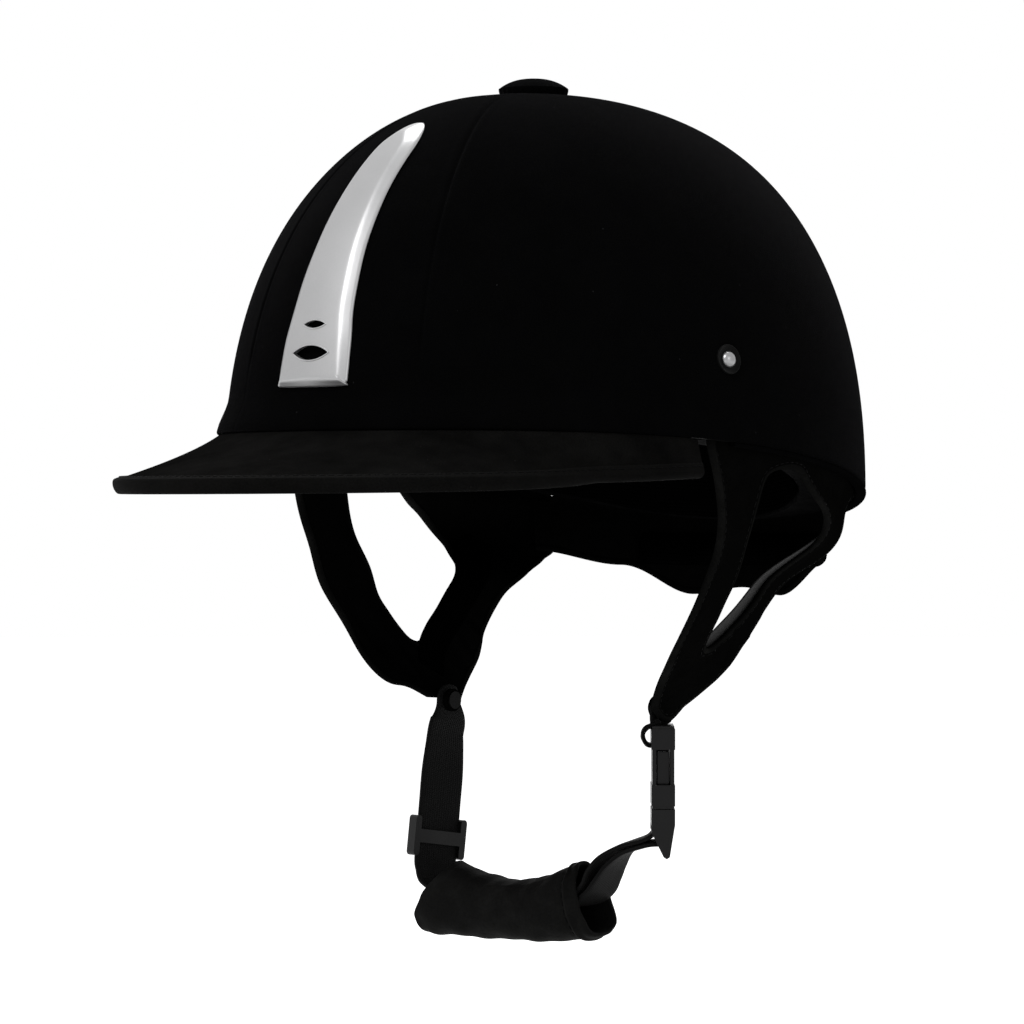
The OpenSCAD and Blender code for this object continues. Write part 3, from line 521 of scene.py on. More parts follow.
# Finishes: shared effect, colour or the setting that holds it, the effect's values, height of the relief in
# metres, specular level, and the shader's other values
FINISHES = {
    "velvet": ("pile", "velvet", {"Fibre": 2600.0, "Brushed": 0.22, "Lint": 1.0}, 0.00025, 0.0,
               {"Sheen Weight": 0.022, "Sheen Roughness": 0.38, "Sheen Tint": (0.96, 0.96, 1.0, 1)}),
    "suede": ("pile", "suede", {"Fibre": 1700.0, "Brushed": 0.6, "Lint": 0.5}, 0.0003, 0.0,
              {"Sheen Weight": 0.006, "Sheen Roughness": 0.5}),
    "suede_edge": ("pile", "suede", {"Fibre": 1500.0, "Brushed": 0.35, "Lint": 0.2}, 0.0002, 0.01,
                   {"Sheen Weight": 0.004, "Sheen Roughness": 0.5}),
    "rim_tape": ("pile", "velvet", {"Fibre": 1500.0, "Brushed": 0.3, "Lint": 0.2}, 0.0002, 0.0,
                 {"Sheen Weight": 0.002, "Sheen Roughness": 0.5}),
    "leather": ("grain", "leather", {"Rubbed": (0.005, 0.005, 0.0048, 1), "Cells": 1100.0, "Wear": 0.5,
                                     "Roughness": 0.66}, 0.00012, 0.0, {}),
    # Bound edge: lighter than the leather, partly rubbed wear of the binding and partly a painted highlight
    # along the edge
    "bound_edge": ("grain", (0.0052, 0.0052, 0.005), {"Rubbed": (0.0125, 0.0125, 0.012, 1), "Cells": 1500.0,
                                                      "Wear": 0.8, "Roughness": 0.6}, 0.0001, 0.0, {}),
    "guard_leather": ("grain", (0.0062, 0.0062, 0.006), {"Rubbed": (0.014, 0.014, 0.0134, 1), "Cells": 800.0,
                                                         "Wear": 0.75, "Roughness": 0.68}, 0.00016, 0.02, {}),
    "webbing": ("weave", "webbing", {}, 0.00018, 0.03, {"Sheen Weight": 0.006}),
    # Webbing of the near (left) strap strip: five times lighter than the other webbing, a painted sheen
    "pale_webbing": ("weave", (0.034, 0.034, 0.034), {"Rib": 0.0013}, 0.0002, 0.05, {}),
    "lining": ("weave", "lining", {"Rib": 0.0016, "Pick": 0.0016, "Contrast": 0.8}, 0.0002, 0.0, {}),
    "thread": ("weave", (0.004, 0.004, 0.004), {"Rib": 0.0004, "Pick": 0.0006}, 0.0, 0.02, {}),
    "shell_plastic": ("grain", (0.002, 0.002, 0.002), {"Cells": 1600.0, "Wear": 0.1, "Roughness": 0.6},
                      0.00006, 0.02, {}),
    "foam": ("grain", (0.002, 0.002, 0.0021), {"Cells": 420.0, "Wear": 0.1, "Roughness": 0.8},
             0.0002, 0.01, {}),
    "buckle_plastic": ("rub", "plastic", {"Flake": 0.3, "Roughness": 0.34, "Marks": 0.4}, 0.00002, 0.14, {}),
    "silver_paint": ("rub", "silver", {"Flake": 0.22, "Roughness": 0.36, "Marks": 0.12}, 0.00002, 0.5,
                     {"Metallic": 0.75}),
    "stud_steel": ("rub", (0.3, 0.3, 0.305), {"Flake": 0.05, "Roughness": 0.3, "Marks": 0.15}, 0.00001, 0.5,
                   {"Metallic": 0.9}),
    "dark_steel": ("rub", (0.004, 0.004, 0.004), {"Flake": 0.1, "Roughness": 0.4, "Marks": 0.2},
                   0.00001, 0.03, {"Metallic": 0.3}),
    "bright_steel": ("rub", (0.62, 0.62, 0.63), {"Flake": 0.05, "Roughness": 0.22, "Marks": 0.2},
                     0.00001, 0.5, {"Metallic": 1.0}),
}

# Finish of a slot whose name differs from it, and the frame's own nodes that are blackened steel
SLOT_FINISH = {"shell": "shell_plastic", "buckle": "buckle_plastic", "silver": "silver_paint",
               "steel": "bright_steel"}
BLACKENED = ("strap_pivots", "arm_pins", "anchor_rivets")


def finish_material(name, effect, colour, effect_values, height, specular, others):
    """Material from one shared effect: its colour, roughness and height feed a Principled shader.
    It takes the place of the frame's plain material of the same name."""
    plain = bpy.data.materials.get(name)
    if plain:
        bpy.data.materials.remove(plain)
    mat = bpy.data.materials.new(name)
    mat.use_nodes = True
    tree = mat.node_tree
    tree.nodes.clear()
    out = tree.nodes.new("ShaderNodeOutputMaterial")
    bsdf = tree.nodes.new("ShaderNodeBsdfPrincipled")
    tree.links.new(bsdf.outputs[0], out.inputs[0])
    made = node(tree, "ShaderNodeGroup", node_tree=bpy.data.node_groups[effect])
    made.inputs["Color"].default_value = (*colour, 1)
    for key, value in effect_values.items():
        made.inputs[key].default_value = value
    tree.links.new(made.outputs["Color"], bsdf.inputs["Base Color"])
    tree.links.new(made.outputs["Roughness"], bsdf.inputs["Roughness"])
    if height:
        relief = {"Height": made.outputs["Height"], "Distance": height, "Strength": 1.0}
        lift = node(tree, "ShaderNodeBump", relief)
        tree.links.new(lift.outputs[0], bsdf.inputs["Normal"])
    for key, value in {"Specular IOR Level": specular, **others}.items():
        bsdf.inputs[key].default_value = value
    mat.diffuse_color = (*colour, 1)


# Sizes and colours that a user would change

class HelmetShellSizes(bpy.types.PropertyGroup):
    """Sizes of the velvet, the button and the peak."""
    seam_depth: FloatProperty(
        name="Seam depth", description="How deep the velvet dips at a seam", default=0.0005, unit="LENGTH")
    seam_width: FloatProperty(
        name="Seam width", description="Half width of the dip at a seam", default=0.0009, unit="LENGTH")
    button_radius: FloatProperty(
        name="Button radius", description="Radius of the covered crown button", default=0.0135, unit="LENGTH")
    button_height: FloatProperty(
        name="Button height", description="Height of the crown button", default=0.0065, unit="LENGTH")
    binding_turn: FloatProperty(
        name="Binding turn", description="How far the peak's binding is folded over the suede",
        default=0.0032, unit="LENGTH")


class HelmetTrimSizes(bpy.types.PropertyGroup):
    """Sizes of the front plate."""
    shoulder: FloatProperty(
        name="Shoulder width", description="Width of the plate's sloped edge", default=0.0034, unit="LENGTH")
    proud: FloatProperty(
        name="Height", description="How far the plate stands proud", default=0.0024, unit="LENGTH")
    bead: FloatProperty(
        name="Vent bead", description="Radius of the bead round a vent", default=0.00032, unit="LENGTH")


class HelmetLeatherSizes(bpy.types.PropertyGroup):
    """Sizes of the leather work."""
    bead: FloatProperty(
        name="Bead width", description="Width of a bound edge", default=0.0026, unit="LENGTH")
    bead_lift: FloatProperty(
        name="Bead lift", description="How far a bound edge stands above the leather",
        default=0.00035, unit="LENGTH")
    stitch_pitch: FloatProperty(
        name="Stitch pitch", description="Distance from stitch to stitch", default=0.0032, unit="LENGTH")
    stitch_length: FloatProperty(
        name="Stitch length", description="Length of one stitch", default=0.0023, unit="LENGTH")
    stitch_thick: FloatProperty(
        name="Thread radius", description="Radius of the thread", default=0.00028, unit="LENGTH")
    fold_depth: FloatProperty(
        name="Fold depth", description="Depth of the folds low on the harness", default=0.0009, unit="LENGTH")
    channels: IntProperty(
        name="Channels", description="Sewn channels round the headband", default=18, min=6, max=36)


class HelmetFinish(bpy.types.PropertyGroup):
    """Colours of the finishes."""
    velvet: FloatVectorProperty(
        name="Velvet", description="Velvet cover", subtype="COLOR", default=(0.0018, 0.0018, 0.0019))
    suede: FloatVectorProperty(
        name="Suede", description="Peak", subtype="COLOR", default=(0.0046, 0.0045, 0.0043))
    leather: FloatVectorProperty(
        name="Leather", description="Harness and nape", subtype="COLOR", default=(0.0024, 0.0024, 0.0023))
    webbing: FloatVectorProperty(
        name="Webbing", description="Straps", subtype="COLOR", default=(0.007, 0.007, 0.007))
    lining: FloatVectorProperty(
        name="Lining", description="Headband and pads", subtype="COLOR", default=(0.0009, 0.0009, 0.0009))
    plastic: FloatVectorProperty(
        name="Plastic", description="Buckle and slider", subtype="COLOR", default=(0.006, 0.006, 0.0062))
    silver: FloatVectorProperty(
        name="Silver", description="Front plate", subtype="COLOR", default=(0.42, 0.42, 0.425))


class HelmetStage(bpy.types.PropertyGroup):
    """Floor and lamps."""
    floor_drop: FloatProperty(
        name="Floor height", description="Height of the floor below the front rim",
        default=-0.33, unit="LENGTH")
    key_power: FloatProperty(
        name="Key lamp", description="Power of the large soft lamp", default=30.0, unit="POWER")
    fill_power: FloatProperty(
        name="Fill lamp", description="Power of the fill lamp", default=5.0, unit="POWER")
    top_power: FloatProperty(
        name="Top lamp", description="Power of the lamp behind the crown", default=26.0, unit="POWER")
    ambient: FloatProperty(name="Ambient", description="World light on the object", default=0.32)


# Stage: camera's lens, place and aim, and each lamp's setting, size, azimuth, elevation and distance
LENS, SENSOR = 157.5, 36.0
CAMERA_PLACE, CAMERA_AIM = (1.1311, -1.3354, -0.030), (-0.01007, -0.00866, -0.030)
LAMPS = {"key": ("key_power", 1.5, -2, 42, 2.5), "fill": ("fill_power", 1.2, 78, 18, 2.4),
         "top": ("top_power", 1.0, 215, 62, 2.2)}
# Radius of the floor in millimetres, its tone, and the glow that lifts it between two distances in metres
FLOOR_R, FLOOR_TONE, FLOOR_NEAR, FLOOR_FAR, GLOW_NEAR, GLOW_FAR = 9000, 0.86, 0.6, 1.2, 0.2, 0.82


# Operators

class HELMET_OT_stage(bpy.types.Operator):
    """Camera at the photograph's angle, pale floor, soft lamps and white world"""
    bl_idname = "helmet.stage"
    bl_label = "Stage"

    def execute(self, context):
        p = context.scene.helmet_stage
        scene = context.scene
        scene.view_settings.view_transform = "Standard"
        cam = bpy.data.objects.new("camera", bpy.data.cameras.new("camera"))
        scene.collection.objects.link(cam)
        cam.data.lens, cam.data.sensor_width = LENS, SENSOR
        cam.location = CAMERA_PLACE
        cam.rotation_euler = (Vector(CAMERA_AIM) - cam.location).to_track_quat("-Z", "Y").to_euler()
        scene.camera = cam
        floor = self.floor(p)
        for name, (power, size, azimuth, elevation, distance) in LAMPS.items():
            lamp = bpy.data.lights.new(name, "AREA")
            lamp.shape, lamp.size, lamp.energy = "DISK", size, getattr(p, power)
            ob = bpy.data.objects.new(name, lamp)
            scene.collection.objects.link(ob)
            a, e = math.radians(azimuth), math.radians(elevation)
            back = Vector((math.sin(a) * math.cos(e), -math.cos(a) * math.cos(e), math.sin(e)))
            ob.location = back * distance
            ob.rotation_euler = (-back).to_track_quat("-Z", "Y").to_euler()
        self.world(scene, p.ambient)
        return {"FINISHED"}

    def floor(self, p):
        """Wide flat disc of pale floor, lifted further out by a glow that only what looks at it sees."""
        a = circle(96)
        rim = vec(FLOOR_R * np.cos(a), FLOOR_R * np.sin(a), p.floor_drop / MM + 0 * a)
        me = bpy.data.meshes.new("floor")
        me.from_pydata((rim * MM).tolist(), [], [list(range(len(a)))])
        floor = bpy.data.objects.new("floor", me)
        bpy.context.scene.collection.objects.link(floor)
        mat = bpy.data.materials.new("floor")
        mat.use_nodes = True
        tree = mat.node_tree
        bsdf = tree.nodes["Principled BSDF"]
        bsdf.inputs["Base Color"].default_value = (FLOOR_TONE, FLOOR_TONE, FLOOR_TONE, 1)
        bsdf.inputs["Roughness"].default_value = 0.9
        bsdf.inputs["Specular IOR Level"].default_value = 0.0
        far = node(tree, "ShaderNodeVectorMath", {0: object_place(tree)}, operation="LENGTH").outputs["Value"]
        limits = {0: far, 1: FLOOR_NEAR, 2: FLOOR_FAR, 3: GLOW_NEAR, 4: GLOW_FAR}
        lift = node(tree, "ShaderNodeMapRange", limits).outputs[0]
        glow = node(tree, "ShaderNodeEmission", {"Color": (1, 1, 1, 1)})
        tree.links.new(self.seen(tree, lift), glow.inputs["Strength"])
        both = node(tree, "ShaderNodeAddShader", {0: bsdf.outputs[0], 1: glow.outputs[0]})
        tree.links.new(both.outputs[0], tree.nodes["Material Output"].inputs[0])
        me.materials.append(mat)
        return floor

    def seen(self, tree, strength):
        """The strength given where a camera, glossy or transmission ray looks, and nothing elsewhere."""
        path = node(tree, "ShaderNodeLightPath").outputs
        looks = plus(tree, path["Is Camera Ray"], path["Is Glossy Ray"])
        looks = maths(tree, "MINIMUM", plus(tree, looks, path["Is Transmission Ray"]), 1.0)
        return times(tree, looks, strength)

    def world(self, scene, ambient):
        """White where it is seen, and a plain even light on the object."""
        world = bpy.data.worlds.new("world")
        scene.world = world
        world.use_nodes = True
        tree = world.node_tree
        strength = plus(tree, self.seen(tree, 1.0 - ambient), ambient)
        background = tree.nodes["Background"]
        background.inputs["Color"].default_value = (1, 1, 1, 1)
        tree.links.new(strength, background.inputs["Strength"])


class HELMET_OT_finishes(bpy.types.Operator):
    """Materials of every slot, and the finish of the frame's own nodes"""
    bl_idname = "helmet.finishes"
    bl_label = "Finishes"

    def execute(self, context):
        p = context.scene.helmet_finish
        for make in GROUPS:
            make()
        for name, (effect, colour, *rest) in FINISHES.items():
            finish_material(name, effect, getattr(p, colour) if isinstance(colour, str) else colour, *rest)
        for part in frame["record"]["subparts"]:
            slot = part["material_slot"]
            finish = "dark_steel" if part["node"] in BLACKENED else SLOT_FINISH.get(slot, slot)
            materials = frame["nodes"][part["node"]].data.materials
            materials.clear()
            materials.append(bpy.data.materials[finish])
        return {"FINISHED"}


# Velvet: height, distance and width of the puff beside a seam, the share of the way to the rim that is rolled
# under, and the height above the rim over which the seams fade
PUFF, PUFF_AT, PUFF_WIDE, HEM, SEAM_FADE = 0.12, 2.6, 1.6, 0.005, 34
# Crown button: gathers of the cloth, their depth as a share of the radius, and depth of the skirt
GATHERS, GATHER_DEPTH, SKIRT = 26, 0.011, 1.6


class HELMET_OT_covers(bpy.types.Operator):
    """Velvet cover in four sewn panels, and the covered crown button"""
    bl_idname = "helmet.covers"
    bl_label = "Velvet cover"

    def execute(self, context):
        p = context.scene.helmet_shell
        seams = (-PANEL_DEG, PANEL_DEG, 180 - PANEL_DEG, 180 + PANEL_DEG, 360 - PANEL_DEG)
        for name, start, end in zip(("front", "left", "rear", "right"), seams, seams[1:]):
            self.panel(name, math.radians(start), math.radians(end), p)
        self.button(p)
        return {"FINISHED"}

    def panel(self, name, t0, t1, p):
        """Panel of the shell's surface. It dips along both seams by a bell curve of the distance from them,
        less so near the rim, puffs slightly beside them, and rolls under at the rim in a half circle."""
        x = np.linspace(0, 1, 50 + int(math.degrees(t1 - t0) * 0.85))
        t = mix(t0, t1, 0.5 - 0.5 * np.cos(np.pi * x))[:, None]
        turn = np.linspace(0, np.pi, 9)[1:]
        outside, inside = np.linspace(0, 1 - HEM, 92), np.linspace(0.93, 0, 9)
        v = np.concatenate([outside, 1 - HEM + HEM * np.sin(turn), inside])[None]
        depth = np.concatenate([0 * outside, COVER_T / 2 * (1 - np.cos(turn)), COVER_T + 0 * inside])[None]
        q = row_point(t, v, 0.0)
        radius = np.hypot(q[..., 0], q[..., 1] - centre_y(q[..., 2]))
        from_seam = radius * np.minimum(t - t0, t1 - t)
        puff = PUFF * bump(from_seam - PUFF_AT, PUFF_WIDE)
        dip = p.seam_depth / MM * bump(from_seam, p.seam_width / MM) - puff
        dip = dip * (1 - 0.8 * ease((rim_z(t) + SEAM_FADE - q[..., 2]) / 14))
        outer = depth < COVER_T / 2
        ob = grid("velvet_" + name, row_point(t, v, depth + np.where(outer, dip, 0)))
        place(ob, "helmet", "velvet", "velvet", ["cover_" + name])

    def button(self, p):
        """Turned dome: a flat arc over the top, a rounded skirt, and shallow gathers of the cloth."""
        radius, high = p.button_radius / MM, p.button_height / MM
        a = circle(144)[:, None]
        s = np.linspace(0, 1, 30)[None]
        r = radius * np.minimum(1, np.sin(s * np.pi / 2 * 1.06)) ** 0.96
        z = high * (1 - (r / radius) ** 2.6 * 0.62)
        skirt = np.linspace(0, 1, 10)[None, 1:]
        r = np.concatenate([r, radius - 0.9 * skirt ** 2 * SKIRT], 1)
        z = np.concatenate([z, z[:, -1:] * (1 - skirt) - SKIRT * skirt], 1)
        gather = 1 + GATHER_DEPTH * np.cos(GATHERS * a) * ease((r / radius - 0.6) / 0.4)
        top = CROWN_Z + 0.1
        q = vec(r * gather * np.cos(a), centre_y(CROWN_Z) + r * gather * np.sin(a), top + z + 0 * a)
        ob = grid("velvet_button", q, round_u=True, round_v=False, weld=True)
        place(ob, "helmet", "velvet", "velvet", ["crown_button"])


# Peak: reach at the front and the sides, drop at the front, rise of its ends at an angle in degrees, bow of
# its section, thicknesses, and the angle to which the suede is sewn
PEAK_OUT, PEAK_SIDE, PEAK_DROP = 59.0, 5.0, 18.3
PEAK_RISE, PEAK_ENDS, PEAK_BOW = 4.0, 77, -0.65
PEAK_CORE, SUEDE_T = 2.4, 1.1
PEAK_SEWN = math.radians(71.3)
PEAK_LOW = SUEDE_T + LAYER_GAP + PEAK_CORE + LAYER_GAP
PEAK_THICK = PEAK_LOW + SUEDE_T


def peak_chord(t):
    """Line from the rim to the peak's edge, as distance out and height."""
    deg = np.degrees(np.abs(t))
    reach = PEAK_SIDE + (PEAK_OUT - PEAK_SIDE) * np.maximum(0, np.cos(1.7 * t)) ** 1.1
    reach = reach * (1 - 0.5 * ease((deg - 56) / 21))
    low = -PEAK_DROP + PEAK_RISE * (deg / PEAK_ENDS) ** 2
    return reach, low - rim_z(t) + SOFT


def peak_point(t, w, depth, along=0.0):
    """Point of the peak: a share w along its chord, bowed by a sine, at a depth below its top."""
    reach, fall = peak_chord(t)
    c0, c1 = reach + 1, fall
    size = np.hypot(c0, c1)
    lift = PEAK_BOW * np.sin(np.pi * np.clip(w, 0, 1)) * ease(reach / 30) - depth
    out = -1 + c0 * w - c1 / size * lift + c0 / size * along
    up = -SOFT + c1 * w + c0 / size * lift + c1 / size * along
    facing = unit(vec(HALF_L * np.sin(t), -HALF_W * np.cos(t), 0 * t))
    return level_point(t, rim_z(t), 0.0) + facing * out[..., None] + vec(0 * up, 0 * up, up)


class HELMET_OT_peak(bpy.types.Operator):
    """Suede peak with its lining and folded edge binding"""
    bl_idname = "helmet.peak"
    bl_label = "Peak"

    def execute(self, context):
        p = context.scene.helmet_shell
        t = np.linspace(-PEAK_SEWN, PEAK_SEWN, 220)[:, None]
        w = np.linspace(0, 1, 30)[None]
        for name, node_name, d0, d1, end in (("peak_suede", "peak_cover", 0.0, SUEDE_T, 1.0),
                                             ("peak_underside", "peak_lining", PEAK_LOW, PEAK_THICK, 0.985)):
            upper, under = peak_point(t, w * end, d0 + 0 * t), peak_point(t, w[:, ::-1] * end, d1 + 0 * t)
            place(grid(name, np.concatenate([upper, under], 1)), "helmet", "suede", "suede", [node_name])
        self.binding(t, p)
        return {"FINISHED"}

    def binding(self, t, p):
        """Strip folded round the edge: over the top, round the nose in a half ellipse, and under."""
        turn = p.binding_turn / MM
        a = np.linspace(np.pi / 2, -np.pi / 2, 15)
        mid, half = PEAK_THICK / 2, PEAK_THICK / 2 + 0.5
        flat = np.linspace(-turn, 0, 6)[:-1]
        along = np.concatenate([flat, 0.35 + 1.55 * np.cos(a), flat[::-1]])
        depth = np.concatenate([np.full(5, mid - half), mid - half * np.sin(a), np.full(5, mid + half)])
        depth[0], depth[-1] = mid - half + 0.4, mid + half - 0.4
        inner_along = along - 0.5 * np.maximum(0, np.cos(np.linspace(-1.2, 1.2, 25)))
        inner_depth = mid + (depth - mid) * (1 - 0.62 / half)
        ring = [np.concatenate([x, y[::-1]])[None] for x, y in ((along, inner_along), (depth, inner_depth))]
        q = peak_point(t, 1.0 + 0 * ring[0], ring[1] + 0 * t, ring[0] + 0 * t)
        ob = grid("peak_edge_binding", q)
        place(ob, "helmet", "leather", "suede_edge", ["peak_binding"])
        line = t[:, 0]
        edge, inner = 1.0 + 0 * line, -turn * 0.55 + 0 * line
        for name, low, face in (("peak_edge_stitches", mid - half, 1),
                                ("peak_under_stitches", mid + half, -1)):
            path = peak_point(line, edge, low + 0 * line, inner)
            above = peak_point(line, edge, low - 1 + 0 * line, inner)
            place(stitches(name, path, (above - path) * face), "helmet", "leather", "thread")


class HELMET_OT_rim(bpy.types.Operator):
    """Bound rim round the sides and the rear"""
    bl_idname = "helmet.rim"
    bl_label = "Rim binding"

    def execute(self, context):
        t = np.radians(np.linspace(79, 281, 200))[:, None]
        a = circle(24)[None]
        outer, inner = row_point(t, 1 + 0 * t, -0.1), row_point(t, 1 + 0 * t, SHELL_D1 + 0.2)
        centre, half = (outer + inner) / 2, (outer - inner) / 2
        swell = 1 + 0.03 * np.sin(t * 160)
        rise = -0.95 + 0.8 * spow(np.sin(a), 0.8) + 0 * t
        q = centre + half * (1.04 * spow(np.cos(a), 0.8) * swell)[..., None] + vec(0 * a, 0 * a, rise)
        place(grid("rim_piping", q), "helmet", "leather", "rim_tape", ["rim_binding"])
        return {"FINISHED"}


# Front plate: shares of its height with shares of its half width at the foot
PLATE_ROWS = [[0, 0.86], [0.015, 0.98], [0.04, 1], [0.17, 0.96], [0.28, 0.87], [0.4, 0.81], [0.51, 0.745],
              [0.61, 0.705], [0.73, 0.65], [0.84, 0.6], [0.91, 0.54], [0.955, 0.42], [0.985, 0.26], [1, 0.1]]
PLATE_HALF, PLATE_FOOT, PLATE_TIP, PLATE_GAP, PLATE_NOSE = 17.0, 16.0, 117.0, 0.65, 0.75
# Distances from the plate's edge at which it has a row of points, then even steps to its spine
PLATE_STEPS = [0, 0.06, 0.16, 0.3, 0.5, 0.9, 1.5, 2.2, 2.8, 3.2, 3.5, 3.9, 4.6]
# Vents: width, height and place up the plate
VENTS = {"large": (18.3, 5.9, 28.6), "small": (11.5, 3.3, 39.2)}


def plate_point(x, z, d):
    """Point over the front of the shell, x to the side, at a height and a depth."""
    phi = phi_at(z, d)
    rho = np.sin(phi) ** (2 / PROFILE)
    t = np.arcsin(x / ((HALF_W - d + flare(0 * z, z)) * rho))
    return shell_point(t, phi, d)


def lens(w, h, count=40):
    """Outline of two equal arcs that meet at the sides: w wide and h high."""
    r = (w * w / 4 + h * h / 4) / h
    half = math.asin(w / 2 / r)
    a = np.linspace(-half, half, count // 2, endpoint=False)
    top = np.stack([r * np.sin(a), r * np.cos(a) - r + h / 2], -1)
    return np.concatenate([top, -top])


class HELMET_OT_plate(bpy.types.Operator):
    """Silver front plate with sloped shoulders and two vents"""
    bl_idname = "helmet.plate"
    bl_label = "Front plate"

    def execute(self, context):
        p = context.scene.helmet_trim
        rows = np.array(PLATE_ROWS)
        side = np.stack([rows[:, 1] * PLATE_HALF, mix(PLATE_FOOT, PLATE_TIP, rows[:, 0])], -1)
        ring = catmull(np.concatenate([side, (side * [-1, 1])[::-1]]), 12, closed=True)
        spine = np.stack([0 * ring[:, 0], np.clip(ring[:, 1], PLATE_FOOT + 15, PLATE_TIP - 8)], -1)
        length = np.linalg.norm(ring - spine, axis=1)[:, None]
        shoulder, proud = p.shoulder / MM, p.proud / MM
        near = np.array(PLATE_STEPS)[None]
        to_spine = mix(near[:, -1:] / length, 1, np.linspace(0, 1, 9)[None, 1:])
        share = np.concatenate([near / length, to_spine], 1)
        edge = share * length
        slope = (proud - PLATE_NOSE) * np.clip((edge - 0.3) / (shoulder - 0.3), 0, 1)
        slope = slope - 0.12 * bump(edge - shoulder, 0.45)
        high = PLATE_NOSE * nose(edge, 0.5) + slope
        flat_x = mix(ring[:, None, 0], spine[:, None, 0], share)
        flat_z = mix(ring[:, None, 1], spine[:, None, 1], share)
        front = plate_point(flat_x, flat_z, -PLATE_GAP - high)
        back = plate_point(flat_x[:, ::-4], flat_z[:, ::-4], -PLATE_GAP + 0 * flat_x[:, ::-4])
        plate = np.concatenate([back, front], 1)
        ob = grid("silver_plate", plate, round_u=True, round_v=False, smooth=50, weld=True)
        cutters = [self.prism(lens(w, h), z) for w, h, z in VENTS.values()]
        for cutter in cutters:
            cut = ob.modifiers.new("vent", "BOOLEAN")
            cut.object, cut.operation, cut.solver = cutter, "DIFFERENCE", "MANIFOLD"
        context.view_layer.update()
        apply_modifiers(ob)
        for cutter in cutters:
            bpy.data.objects.remove(cutter)
        smooth_faces(ob.data, 34)
        place(ob, "helmet", "silver", "silver_paint", ["front_plate"])
        for label, (w, h, z) in VENTS.items():
            self.bead("vent_bead_" + label, lens(w, h, 72), z, proud, p.bead / MM)
        return {"FINISHED"}

    def prism(self, outline, z):
        """Straight prism through the plate along Y."""
        n = len(outline)
        x, up = outline[:, 0], z + outline[:, 1]
        ends = np.concatenate([vec(x, y + 0 * x, up) for y in (-HALF_L - 12, -HALF_L + 20)])
        k = np.arange(n)
        sides = np.stack([k, (k + 1) % n, (k + 1) % n + n, k + n], -1).tolist()
        ob = new_object("vent_cutter", ends, sides + [k[::-1].tolist(), (k + n).tolist()])
        merge(ob)
        return ob

    def bead(self, name, outline, z, proud, radius):
        """Round bead along a vent's outline, on the plate's face."""
        centre = plate_point(outline[:, 0], z + outline[:, 1], -PLATE_GAP - proud + 0 * outline[:, 0])
        along = unit(np.roll(centre, -1, 0) - np.roll(centre, 1, 0))
        out = unit(vec(0 * centre[:, 0], -1 + 0 * centre[:, 0], 0.2 + 0 * centre[:, 0]))
        side = unit(np.cross(along, out))
        up = np.cross(side, along)
        a = circle(10)[None, :, None]
        q = centre[:, None] + radius * (side[:, None] * np.cos(a) + up[:, None] * np.sin(a) * 0.8)
        place(grid(name, q, round_u=True), "helmet", "silver", "silver_paint")


# Harness: outline and ear opening in side view, as y and z
HARNESS_OUT = [[4, -110.5], [-1, -108.5], [-8, -101], [-15, -90], [-19.5, -80], [-24.5, -61], [-24.5, -42],
               [-29, -20], [-32, -2], [-26, 6], [2, 5], [32, 1], [60, -3], [84, -10], [94, -22], [90, -43],
               [80, -50], [68, -55.5], [54, -64], [41, -78], [32.5, -90], [19, -101], [9, -108.5]]
HARNESS_EAR = [[5.5, -81.5], [3, -79.5], [1.5, -75], [0.5, -69.5], [-0.5, -63], [0.5, -52], [-1.5, -39],
               [-1, -26], [0.5, -18], [4.5, -15], [12, -14], [21, -15], [28, -19], [36, -26], [42, -31],
               [45.5, -37], [46.5, -43], [44, -48], [41, -53], [34, -62], [24.5, -71], [15, -78], [9, -81.5]]
# Bow of the harness below the rim, its loss per millimetre towards the rear, and how far it hangs out behind
# the ear and at the rear
STRAP_BOW, STRAP_BOW_LOSS, HANG_EAR, HANG_REAR = 9, 0.32, 13.5, 11
# Webbing sewn inside the rear strap: middle line, shift of the left one, and half its width
STRIP_LINE = [[60, -42], [49, -50], [41, -58], [33, -65.5], [25, -73], [17, -79.5], [10, -86], [5, -93]]
STRIP_SHIFT, STRIP_HALF = (-2.8, 2.8), 5.2
# A bound edge is sewn this many bead widths from the edge
SEWN = 1.12


def rim_at(y):
    """Height of the rim at a place along the helmet: that of the angle whose cosine is the share of its
    half length, counted from the front."""
    return rim_z(np.arccos(np.clip(-(y - SHELL_Y) / HALF_L, -1, 1)))


def strap_x(y, z, d):
    """Sideways place of the harness: the shell's layer above the rim, then a bowed line down to the foot.
    Behind the ear it hangs straighter at first: a squared sine over the upper half adds to the line."""
    rim = rim_at(y) - 1.5
    s = np.clip((rim - z) / (rim - PIVOT[2]), 0, 1)
    foot = FOOT_HALF + LEATHER_T / 2 - (d - TAB_D0)
    hang = mix(HANG_EAR, HANG_REAR, ease((y - 50) / 35)) * ease((y - 8) / 34)
    hang = hang * np.sin(np.pi * np.minimum(2 * s, 1)) ** 2
    low = mix(side_x(y, rim, d), foot, s) + (STRAP_BOW - STRAP_BOW_LOSS * y) * np.sin(np.pi * s) + hang
    return np.where(z > rim, side_x(y, z, d), low)


def bead_rows(bead):
    """Distances from a bound edge to the rows of points over its bead: one less the cosine of even steps
    over a half turn, so that they lie closest at both ends."""
    return bead * (1 - np.cos(np.linspace(0, np.pi, 12))) / 1.7


def bound_half(from_edge, bead, lift, groove):
    """Half the thickness of leather with a bound edge: a round bead, a sewn groove beside it, then even."""
    half = LEATHER_T / 2 + lift * (1 - ease((from_edge - bead * 0.75) / (bead * 0.35)))
    half = half - groove * bump(from_edge - bead * SEWN, 0.4)
    return half * mix(0.06, 1, nose(from_edge, bead * 0.5))


